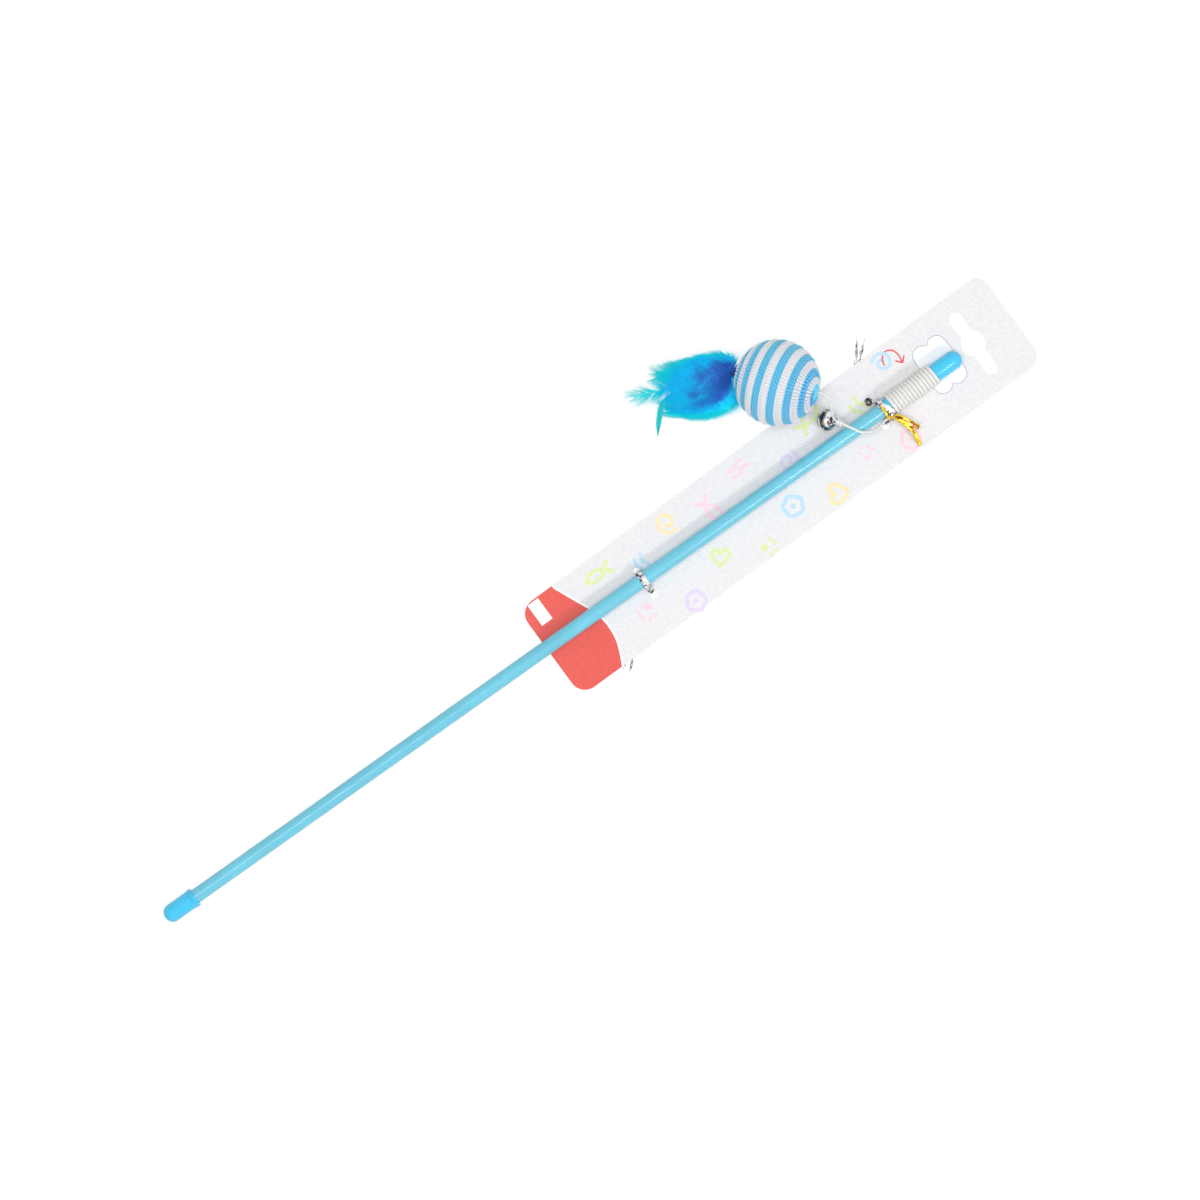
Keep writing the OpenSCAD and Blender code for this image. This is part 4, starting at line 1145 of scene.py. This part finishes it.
def matted_down(path, name, thick):
    """The matted down round a shaft: rings of half ellipses that reach most of the way that the barbs do,
    from the first barbs to the end of the dense share, drawn in at both ends, swept towards the tip at their
    edges and ruffled by sines."""
    t = np.linspace(DOWN_START, DOWN[name][2], MATTED_RINGS)
    a = np.arange(MATTED_SIDES) * 2 * math.pi / MATTED_SIDES
    centre, ahead, up, side = shaft_axes(path, t)
    left, right, half_t = reaches(name, thick, t)
    full = MATTED_REACH * fullness(name, t)
    ruffle = 1 + 0.06 * np.sin(t[:, None] * 90 + 5 * a) + 0.05 * np.sin(t[:, None] * 230 - 7 * a)
    edge = np.abs(np.cos(a))
    half_w = np.where(np.cos(a) > 0, left[:, None], right[:, None]) * full[:, None] * ruffle
    rise = (half_t * full)[:, None] * ruffle * np.sin(a)
    sweep = half_w * 0.45 * swept(t - DOWN_START)[:, None] * edge ** 2
    across = half_w * np.cos(a)
    points = centre[:, None] + side[:, None] * across[..., None] + up[:, None] * rise[..., None] \
        + ahead[:, None] * sweep[..., None]
    pale = np.where(np.cos(a) > 0, *DOWN[name][3]) * edge
    return Shape().tubes(
        points, out=outness(points) + pale, tint=0.5, along=along(centre)[:, None], across=across)


class TEASER_OT_feathers(bpy.types.Operator):
    """Make the plumes, the hackle and the binding of their quills"""
    bl_idname = "teaser.feathers"
    bl_label = "Feathers"

    def execute(self, context):
        c, s = colours(), sizes()
        soft, matted = down("dyed_down", c), down("matted_down", c, True)
        for seed, (name, (length, turn, thick, route)) in enumerate(PLUMES.items()):
            rng = np.random.default_rng(FIRST_SEED + seed)
            path = shaft(length, turn, QUILL_OFF, route)
            ring_points, out, tint = barbs(rng, path, name, int(s["barbs"]), thick, s)
            shape = Shape().tubes(ring_points, out=out[..., None], tint=tint[..., None])
            taper = 0.75 * (1 - 0.85 * np.linspace(0, 1, len(path)))
            shape.tubes(rings(path, UP, taper, taper, 6), out=outness(path)[:, None] + 0.1, tint=0.9)
            shape.make(name + "_barbs", soft, "ball", "feather", [name])
            matted_down(path, name, thick).make(name + "_down", matted, "ball", "feather", [name])
        self.hackle(c)
        self.binding(c)
        return {"FINISHED"}

    @staticmethod
    def hackle(c):
        """The thin glossy feather: a flat vane, lens-shaped across, with a round shaft along its middle. Its
        edges are ruffled by sines."""
        path = shaft(HACKLE_L, 0.0, 0.0, HACKLE_ROUTE)
        t, far, sides = np.linspace(0, 1, len(path)), along(path)[:, None], 14
        wide = np.interp(t, np.linspace(0, 1, len(HACKLE_SHARES)), HACKLE_SHARES) * HACKLE_W
        wide = wide * (1 + 0.05 * np.sin(t * 160) + 0.04 * np.sin(t * 371))
        across = np.cos(np.arange(sides) * 2 * math.pi / sides)
        shape = Shape().tubes(
            rings(path, UP, wide, HACKLE_T * (1 - 0.6 * t), sides), along=far, across=across)
        taper = 0.7 * (1 - 0.8 * t)
        shape.tubes(rings(path, UP, taper, taper, 6), along=far, across=0.0).make(
            "hackle_feather", glossy_feather("glossy_hackle", c["hackle"]), "ball", "hackle", ["hackle"])

    @staticmethod
    def binding(c):
        """The bound quills: a short cylinder with the ripples of its thread."""
        x = np.linspace(0, BINDING_L, 90)
        ripple = BINDING_R - 0.08 + 0.06 * np.cos(2 * math.pi * x / THREAD_PITCH)
        profile = np.vstack([[0, POLE_R], np.stack([x, ripple], axis=1), [BINDING_L, POLE_R]])
        Shape().turned(profile, FACE, BALL_AXIS, BALL_UP, 40, along=profile[:, :1]).make(
            "quill_thread", thread("binding_thread", c["quill_blue"]), "ball", "binding", ["quill_binding"])


class TEASER_OT_bell(bpy.types.Operator):
    """Finish the bell's shells, loop and pea"""
    bl_idname = "teaser.bell"
    bl_label = "Bell"

    def execute(self, context):
        # The second colour is the nickel's painted dark reflection
        nickel = plated("nickel_plate", paint(236, 237, 238), paint(58, 60, 64), BELL_AXIS, BELL)
        for node in ("bell_upper_shell", "bell_lower_shell", "bell_loop"):
            dress(node, nickel)
        dress("bell_pea", grained("steel_pea", paint(120, 122, 126), 0.3, 1.0))
        return {"FINISHED"}


# Ties. A strip of foil has its wire along its middle and a fold beside it.
FOIL_T = 0.3
FOIL_COLUMNS = np.array([-1.0, -0.62, -0.22, 0.22, 0.62, 1.0])
FOIL_T_SHARES = np.array([0.1, 0.2, 0.5, 0.5, 0.2, 0.1])
# Painted shade down the middle of a folded strip, by a bell curve across it
FOLD_SHADE = np.exp(-(np.concatenate([FOIL_COLUMNS, FOIL_COLUMNS[::-1]]) / 0.27) ** 2)
# How far the middle of the foil lies off the rod and the card, for the gold tie and the silver ones
TIE_OFF = 0.35
SILVER_OFF = 0.75
# The card's holes: how far apart, how far behind the wand's tip, and how far in the ties pass through them
TIE_HOLE_GAP = 13.6
TIP_TIE_BACK = 46.8
MIDDLE_TIE_BACK = 179.8
IN_HOLE = 1.55
ROD_R = 3.5
CARD_TURN = 0.84
CARD_L = 265.3
CARD_W = 49.6
CARD_PAST_TIP = 30.3
CARD_OFF = -1.0
CARD_MIDDLE = TIP[0] + CARD_PAST_TIP - CARD_L / 2
SILVER_BACK = 42.5
SILVER_LEAN = 1.3
# Heights of the twisted ends and of the run behind the card
SHANK_Z = CARD_BACK - 0.9
BACK_RUN_Z = CARD_BACK - TIE_OFF
GATHER_OFF = 4.0
TAIL_SPREAD = 7
# The coil of bare wire: its turns, its first radius, and how much it closes and climbs in a radian
COIL_TURNS, COIL_R, COIL_IN, COIL_UP = 1.7, 1.9, 0.12, 0.07
# A silver tie's arch beyond its hole, by shares: of the way to its top's place along the rod, of its reach
# sideways, of the hole's own place sideways, and of its height
ARCH_SHARES = [
    (0.35, 0.5, 0.5, -0.76), (0.92, 0.98, 0.0, -0.1), (1.0, 0.77, 0.0, 0.48), (1.0, 0.43, 0.0, 0.84)]
GOLD_BACK = 44.0
GOLD_AROUND = (140, 498)
# The gold tie's ends, in shares of their length from the rod's axis
GOLD_END_L = 20.0
GOLD_NECK = [(0.04, -0.24, 0.2)]
GOLD_FORK = [(0.12, -0.31, 0.19)]
GOLD_WIDE_TAIL = [(0.19, -0.37, 0.17), (0.3, -0.55, 0.12), (0.44, -0.82, 0.03)]
GOLD_LONG_TAIL = [(0.17, -0.43, 0.14), (0.24, -0.62, 0.08), (0.28, -0.85, 0.0), (0.25, -1.17, -0.14)]


def card_point(back, across):
    """A point of the card, by its distances behind the wand's tip and across the card."""
    lean = math.sin(math.radians(CARD_TURN))
    ahead = TIP[0] - back - CARD_MIDDLE
    return np.array([CARD_MIDDLE + ahead - across * lean, CARD_OFF + ahead * lean + across, 0.0])


def foil(shape, rng, path, ups, wide, crush=0.1, twist=0.0, fold=1.2, dark=0.0, narrow=1.0):
    """A strip of foil over its wire: a thin plate along the path, thicker at the wire in its middle, turned
    about its own line by the given number of turns and drawn in to its narrow share at both ends, with
    painted shade that darkens it there as much as it narrows. Seeded noise with one value to each fold length
    bends its columns up and down and slants it. Dark is one value or one for each of a ring's points."""
    path = smooth(path, 12)
    steps = max(12, int(along(path)[-1] / 0.3))
    if np.ndim(ups) > 1:
        ups = np.stack([np.interp(np.linspace(0, 1, steps), np.linspace(0, 1, len(ups)), ups[:, k])
                        for k in range(3)], axis=1)
    path = evenly(path, steps)
    far = along(path)
    knots = np.arange(0, far[-1] + 2 * fold, fold)

    def wander(size):
        return np.interp(far, knots, rng.normal(0, size, len(knots)))

    _, up, side = axes(path, np.broadcast_to(ups, path.shape))
    angle = twist * 2 * math.pi * far / far[-1] + wander(0.2)
    _, up, side = axes(path + up * wander(crush * 0.4)[:, None],
                       up * np.cos(angle)[:, None] + side * np.sin(angle)[:, None])
    bend = np.stack([wander(crush) for _ in FOIL_COLUMNS], axis=1)
    half_t = FOIL_T * FOIL_T_SHARES
    across = np.concatenate([FOIL_COLUMNS, FOIL_COLUMNS[::-1]])
    lift = np.hstack([bend + half_t, (bend - half_t)[:, ::-1]])
    ends = np.abs(np.linspace(-1, 1, steps)) ** 3 * (1 - narrow)
    half_w = (wide / 2 * (1 + wander(0.05)) * (1 - ends))[:, None, None]
    points = path[:, None] + side[:, None] * across[:, None] * half_w + up[:, None] * lift[..., None]
    # Painted shade darkens the strip where its ends narrow
    shape.tubes(points[:, ::-1], along=far[:, None], across=across[::-1], dark=dark + ends[:, None] * 1.2)


def arch(hole, top_x, side, reach):
    """One side of a silver tie: up through its hole, near the hole's edge, and on to the rod's top, by shares
    of its reach."""
    rows = np.array(ARCH_SHARES)
    hole = hole - np.array([0.0, side * IN_HOLE, 0.0])
    points = np.stack([hole[0] * (1 - rows[:, 0]) + top_x * rows[:, 0],
                       side * rows[:, 1] * reach + rows[:, 2] * hole[1],
                       rows[:, 3] * (ROD_R + SILVER_OFF)], axis=1)
    return np.vstack([hole + UP * BACK_RUN_Z, hole + UP * CARD_FRONT, points])


def heading(degrees):
    """A direction in the card's plane."""
    return np.array([math.cos(math.radians(degrees)), math.sin(math.radians(degrees)), 0.0])


class TEASER_OT_ties(bpy.types.Operator):
    """Make the silver and gold foil ties"""
    bl_idname = "teaser.ties"
    bl_label = "Ties"

    def execute(self, context):
        c, s = colours(), sizes()
        # The foils' dark colours are their painted dark reflections
        finish = crinkled("silver_foil", c["silver"], paint(36, 28, 26), 0.44, 0.6)
        holes = [card_point(TIP_TIE_BACK, side * TIE_HOLE_GAP / 2) for side in (1, -1)]
        self.silver("tip", finish, holes, s, top_x=TIP[0] - SILVER_BACK, reaches=(5.3, 6.6), start=holes[0],
                    turn=76, twist_l=12.0, twists=2, tail_turn=46, tail_l=15.5, lean=SILVER_LEAN, coiled=True)
        holes = [card_point(MIDDLE_TIE_BACK, side * TIE_HOLE_GAP / 2) for side in (1, -1)]
        # The middle tie's foil is a little darker all over
        self.silver("middle", finish, holes, s, top_x=holes[0][0], reaches=(4.8, 4.8), start=holes[1],
                    turn=214, twist_l=20.0, twists=3, tail_turn=215, tail_l=13.5, darkening=0.04)
        # The gold foil's dark brown is its painted dark reflection
        self.gold(crinkled("gold_foil", c["gold"], paint(84, 38, 8), 0.42, 0.25), s)
        return {"FINISHED"}

    @staticmethod
    def silver(name, finish, holes, s, top_x, reaches, start, turn, twist_l, twists, tail_turn, tail_l,
               lean=0.0, darkening=0.0, coiled=False):
        """An arch over the rod, its ends drawn together behind the card, their twist and two tails. The arch
        may lean towards the wand's tip, and a coil of bare wire may lie at its first hole."""
        rng = np.random.default_rng(len(name) + 8)
        shape, (a, b) = Shape(), holes
        first, second = arch(a, top_x - lean, 1, reaches[0]), arch(b, top_x + lean, -1, reaches[1])
        path = np.vstack([first, [[top_x, 0, ROD_R + SILVER_OFF]], second[::-1]])
        fine = evenly(smooth(path, 12), 60)
        ups = np.stack([np.zeros(60), fine[:, 1] - (a[1] + b[1]) / 2, fine[:, 2] + ROD_R], axis=1)
        foil(shape, rng, path, ups, s["silver_w"], 0.1, fold=1.0, dark=darkening, narrow=0.5)
        gather = start + heading(turn) * GATHER_OFF + UP * SHANK_Z
        twist_end = gather + heading(turn) * twist_l
        for hole in (a - (0, IN_HOLE, 0), b + (0, IN_HOLE, 0)):
            beside = hole * (0.2, 1, 0) + gather * (0.8, 0, 0)
            foil(shape, rng, [hole + UP * BACK_RUN_Z, beside + UP * BACK_RUN_Z, gather], UP, 1.5, 0.04)
        foil(shape, rng, [gather, twist_end], UP, 1.6, 0.04, twists)
        for side in (-1, 1):
            tail = twist_end + heading(tail_turn + side * TAIL_SPREAD) * tail_l
            foil(shape, rng, [twist_end, (twist_end + tail) / 2, tail], UP,
                 s["silver_w"] * 0.6, 0.08, 0.22, 2.5)
        if coiled:
            angle = np.linspace(0, COIL_TURNS, 30)[:, None] * 2 * math.pi
            coil = np.hstack([np.cos(angle), np.sin(angle), angle * COIL_UP]) * (COIL_R - angle * COIL_IN)
            foil(shape, rng, a + coil + UP * (CARD_FRONT + 0.5), UP, 0.7, 0.16, fold=0.5, dark=0.42)
        shape.make("silver_foil_" + name, finish, "wand", "silver_foil", ["silver_tie_" + name])

    @staticmethod
    def gold(finish, s):
        """A ring round the rod and the cord, its ends twisted together, and two tails."""
        rng = np.random.default_rng(23)
        near, cord = ROD_R + TIE_OFF, np.array([0.0, *TIE_SIDE[0][1:]])
        far = np.linalg.norm(cord) + s["cord_d"] / 2 + TIE_OFF
        base = np.array([TIP[0] - GOLD_BACK, 0, 0])
        middle = base + unit(cord) * (far - near) / 2
        a = np.radians(np.linspace(*GOLD_AROUND, 25))[:, None]
        out = np.cos(a) * np.array([0, 1.0, 0]) + np.sin(a) * UP
        ring = middle + out * (near + far) / 2
        shape = Shape()
        foil(shape, rng, ring, out, s["gold_w"] * 0.6, 0.05)
        neck, fork, wide_tail, long_tail = (base + np.array(rows) * GOLD_END_L for rows in (
            GOLD_NECK, GOLD_FORK, GOLD_WIDE_TAIL, GOLD_LONG_TAIL))
        foil(shape, rng, np.vstack([ring[:1], neck]), (0, -0.4, 1.0), 1.5, 0.06)
        foil(shape, rng, np.vstack([neck, fork]), UP, 1.7, 0.1, 0.5)
        foil(shape, rng, np.vstack([fork, wide_tail]), UP, s["gold_w"] * 1.4, 0.08, 0, 4.0, FOLD_SHADE)
        foil(shape, rng, np.vstack([fork, long_tail]), UP, s["gold_w"] * 0.8, 0.08, 0, 4.0)
        shape.make("gold_foil_tie", finish, "wand", "gold_foil", ["gold_tie"])


# Print on the card. Marks are placed by their distance from the card's red end and across the card.
BAND_EDGE = [
    (19.0, 23.4), (21.6, 17.5), (24.6, 10.5), (27.6, 3.5), (29.1, -4.0), (28.6, -12.0), (26.4, -18.5),
    (23.2, -25.2)]
# Radius of the card's corners at the red end, and how far the print stays inside the card's edge
FOOT_R = 7.5
HAIR = 0.06
BAND_RIM = 0.9
LABEL = (4.6, 10.6, 12.4, 24.0)
# The window's middle, half its sides, the power that rounds it, and the pinch's depth and half width
WINDOW_AT = (225.3, 1.5)
WINDOW_HALF = (8.9, 12.6)
WINDOW_POWER = 0.42
PINCH, PINCH_W = 0.16, 0.16
WINDOW_LINE = 0.38
ARROW = [(204.3, 16.4), (205.2, 19.3), (208.2, 21.3), (211.2, 20.0), (212.4, 16.8), (212.0, 13.2)]
ARROW_HEAD = [(209.8, 14.9), (211.9, 12.4), (214.2, 14.6)]
ARROW_W = 0.7
MARKS = 17
MARK_STEP = 10.4
MARK_FIRST = 38.0
MARK_ROWS = (16.5, -12.0, 8.5, -19.0)
MARK_R = 5.4
STROKE = 1.9
# An open line's end lies this much higher than its start, so that its crossings with itself don't flicker
STROKE_RISE = 0.006


def on_card(outline):
    """Card distances turned into frame x and y."""
    u, v = np.asarray(outline, float).T
    lean = math.radians(CARD_TURN)
    x, y = u - CARD_L / 2, v
    return np.stack([CARD_MIDDLE + x * math.cos(lean) - y * math.sin(lean),
                     CARD_OFF + x * math.sin(lean) + y * math.cos(lean)], axis=1)


def signed_power(x, n):
    """Numbers raised to a power with their signs kept."""
    return np.sign(x) * np.abs(x) ** n


def stroke(shape, curve, wide, low, high, mark, closed):
    """A drawn line: a strip of even width along a curve, as thick as the ink. An open line rises a little
    from end to end, and has a half round at each."""
    curve = np.asarray(curve, float)
    n = len(curve)
    if closed:
        ahead, rise = unit(np.roll(curve, -1, 0) - np.roll(curve, 1, 0)), np.zeros(n)
    else:
        ahead, rise = unit(np.gradient(curve, axis=0)), np.linspace(0, STROKE_RISE, n)
    off = np.stack([-ahead[:, 1], ahead[:, 0]], axis=1) * wide / 2
    if not closed:
        a = np.linspace(0, math.pi, 11)[1:-1, None]
        for end, sign, top in ((0, -1, high), (n - 1, 1, high + rise[-1])):
            cap = curve[end] - off[end] * np.cos(a) * sign + ahead[end] * sign * np.sin(a) * wide / 2
            cap = np.vstack([curve[end] - off[end] * sign, cap, curve[end] + off[end] * sign])
            shape.prism(on_card(cap), low, top, mark=mark)
    outer, inner = on_card(curve - off), on_card(curve + off)
    levels = [(outer, high + rise), (inner, high + rise), (inner, low), (outer, low)]
    points = np.stack([np.column_stack([flat, np.broadcast_to(z, n)]) for flat, z in levels], axis=1)
    i = np.arange(n if closed else n - 1)[:, None]
    j = (i + 1) % n
    k = np.arange(4)[None, :]
    quads = np.stack([i * 4 + k, j * 4 + k, j * 4 + (k + 1) % 4, i * 4 + (k + 1) % 4], axis=-1).reshape(-1, 4)
    faces = [quads]
    if not closed:
        faces += [[[0, 1, 2, 3]], [[n * 4 - 1, n * 4 - 2, n * 4 - 3, n * 4 - 4]]]
    shape.add(points, faces, mark=mark)


def figure(kind, size):
    """Outlines of the printed figures as lists of (curve, closed, width share), where a share of nought is a
    filled spot: a fish, a heart, a spiral, a flower, a pair of waves and a paw, each from a formula."""
    t = np.linspace(0, 2 * math.pi, 72, endpoint=False)
    ring = np.stack([np.cos(t), np.sin(t)], 1)
    if kind == "fish":
        tail = smooth([(1.55, 0.5), (1.2, 0.25), (1.12, 0.0), (1.2, -0.25), (1.55, -0.5)], 6)
        return [(ring * (0.82, 0.42) * size, True, 1), (tail * size, False, 1)]
    if kind == "heart":
        half = [(0.02, 0.38), (0.3, 0.72), (0.68, 0.66), (0.8, 0.25), (0.55, -0.2), (0.14, -0.66)]
        lobes = np.vstack([half, np.array(half[::-1]) * (-1, 1)])
        return [(smooth(lobes, 6) * size, False, 1)]
    if kind == "flower":
        petals = (size * (0.78 + 0.06 * np.cos(5 * t)))[:, None]
        return [(ring * petals, True, 1), (ring * size * 0.22, True, 0)]
    if kind == "waves":
        x = np.linspace(-0.85, 0.85, 40)
        return [(np.stack([x, 0.12 * np.sin(x * 5.5) + rise], 1) * size, False, 0.9)
                for rise in (-0.36, 0.36)]
    if kind == "spiral":
        r, a = np.linspace(0.24, 0.98, 90), np.linspace(0, 2 * math.pi * 1.3, 90)
        return [(np.stack([r * np.cos(a), r * np.sin(a)], 1) * size, False, 0.85)]
    pads = [(ring * size * (0.4, 0.3) + (0, -0.3 * size), True, 0)]
    for a in (155, 115, 65, 25):
        pads.append((ring * size * 0.19 + heading(a)[:2] * size * 0.74, True, 0))
    return pads


class TEASER_OT_card(bpy.types.Operator):
    """Finish the board and print its band, its window and its figures"""
    bl_idname = "teaser.card"
    bl_label = "Card"

    def execute(self, context):
        c, s = colours(), sizes()
        dress("backing_card", printed_board("pressed_board", c["board"]))
        low, top = CARD_FRONT - 0.02, CARD_FRONT + s["print_t"]
        self.band(c, low, top)
        self.window(low, top)
        self.figures(low, top)
        return {"FINISHED"}

    @staticmethod
    def band(c, low, top):
        """The red end: its free edge is a smooth curve with a white rim, and its corners are the card's, less
        a hair. Its inks also draw the bare label and the arrow."""
        edge = smooth(BAND_EDGE, 8)
        half, r = CARD_W / 2, FOOT_R - HAIR
        edge[0, 1], edge[-1, 1] = half - HAIR, -half + HAIR
        a = np.linspace(0, math.pi / 2, 9)
        lower, upper = (np.stack([FOOT_R - r * np.cos(a), side * (half - FOOT_R + r * np.sin(a))], axis=1)
                        for side in (-1, 1))
        outline = np.vstack([lower[::-1], upper, edge])
        marks = Shape().prism(on_card(outline[::-1]), low, top, mark=0.1)
        stroke(marks, edge + (BAND_RIM / 2, 0.0), BAND_RIM, low, top - 0.012, 0.9, False)
        u0, u1, v0, v1 = LABEL
        marks.prism(on_card([(u0, v0), (u1, v0), (u1, v1), (u0, v1)]), low, top + 0.012, mark=0.9)
        stroke(marks, smooth(ARROW, 8), ARROW_W, low, top, 0.1, False)
        for start, rise in ((ARROW_HEAD[0], 0.009), (ARROW_HEAD[2], 0.018)):
            stroke(marks, np.linspace(start, ARROW_HEAD[1], 4), ARROW_W, low, top + rise, 0.1, False)
        inks = ink("red_ink", [c["red_band"], paint(252, 252, 252)], 0.4, 0.04)
        marks.make("red_print", inks, "wand", "board", (), False)

    @staticmethod
    def window(low, top):
        """The white window behind the tip: a rounded oblong, by a power of cosine and sine, pinched in the
        middle of its two short sides, with a thin line."""
        t = np.linspace(0, 2 * math.pi, 120, endpoint=False)
        u, v = signed_power(np.cos(t), WINDOW_POWER), signed_power(np.sin(t), WINDOW_POWER)
        v = v * (1 - PINCH * np.exp(-(u / PINCH_W) ** 2))
        outline = np.stack([u, v], 1) * WINDOW_HALF + WINDOW_AT
        marks = Shape().prism(on_card(outline), low, top - 0.015, mark=0.9)
        stroke(marks, outline, WINDOW_LINE, low, top, 0.1, True)
        inks = ink("window_ink", [paint(172, 172, 180), paint(252, 252, 254)], 0.2)
        marks.make("window_print", inks, "wand", "board", (), False)

    @staticmethod
    def figures(low, top):
        """Pale figures along the card, in rows that take turns."""
        inks = [paint(*shown) for shown in (
            (222, 234, 170), (226, 212, 240), (250, 212, 198), (253, 212, 226), (250, 228, 176),
            (188, 222, 244), (184, 222, 198))]
        kinds = ("fish", "heart", "spiral", "flower", "waves", "paw")
        marks = Shape()
        for i in range(MARKS):
            size = MARK_R + 0.5 * math.sin(i * 2.3)
            at = (MARK_FIRST + MARK_STEP * i, MARK_ROWS[i % 4] + 1.5 * math.sin(i * 1.7))
            turn = heading(137 * i)
            spin = np.array([[turn[0], turn[1]], [-turn[1], turn[0]]])
            mark = (i * 3 % len(inks) + 0.5) / len(inks)
            for curve, closed, share in figure(kinds[i * 5 % len(kinds)], size):
                if share:
                    stroke(marks, curve @ spin + at, STROKE * share, low, top, mark, closed)
                else:
                    marks.prism(on_card(curve @ spin + at), low, top, mark=mark)
        marks.make("figure_print", ink("pale_inks", inks, 0.1), "wand", "board", (), False)


class TEASER_PT_panel(bpy.types.Panel):
    """Lists the pieces of the wand"""
    bl_idname = "TEASER_PT_panel"
    bl_label = "Teaser"
    bl_space_type = "VIEW_3D"
    bl_region_type = "UI"
    bl_category = "Teaser"

    def draw(self, context):
        for operator in OPERATORS:
            self.layout.operator(operator.bl_idname)
        for group in (context.scene.teaser_sizes, context.scene.teaser_colours):
            box = self.layout.box()
            for key in type(group).__annotations__:
                box.prop(group, key)


OPERATORS = (
    TEASER_OT_stage, TEASER_OT_cord, TEASER_OT_rod, TEASER_OT_ball, TEASER_OT_feathers, TEASER_OT_bell,
    TEASER_OT_ties, TEASER_OT_card)
CLASSES = (TeaserColours, TeaserSizes, *OPERATORS, TEASER_PT_panel)


def register():
    for made in CLASSES:
        bpy.utils.register_class(made)
    bpy.types.Scene.teaser_colours = bpy.props.PointerProperty(type=TeaserColours)
    bpy.types.Scene.teaser_sizes = bpy.props.PointerProperty(type=TeaserSizes)


def unregister():
    del bpy.types.Scene.teaser_sizes
    del bpy.types.Scene.teaser_colours
    for made in reversed(CLASSES):
        bpy.utils.unregister_class(made)


def main():
    """Registers the add-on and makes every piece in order."""
    register()
    bpy.ops.teaser.stage()
    bpy.ops.teaser.cord()
    bpy.ops.teaser.rod()
    bpy.ops.teaser.ball()
    bpy.ops.teaser.feathers()
    bpy.ops.teaser.bell()
    bpy.ops.teaser.ties()
    bpy.ops.teaser.card()


if __name__ == "__main__":
    main()
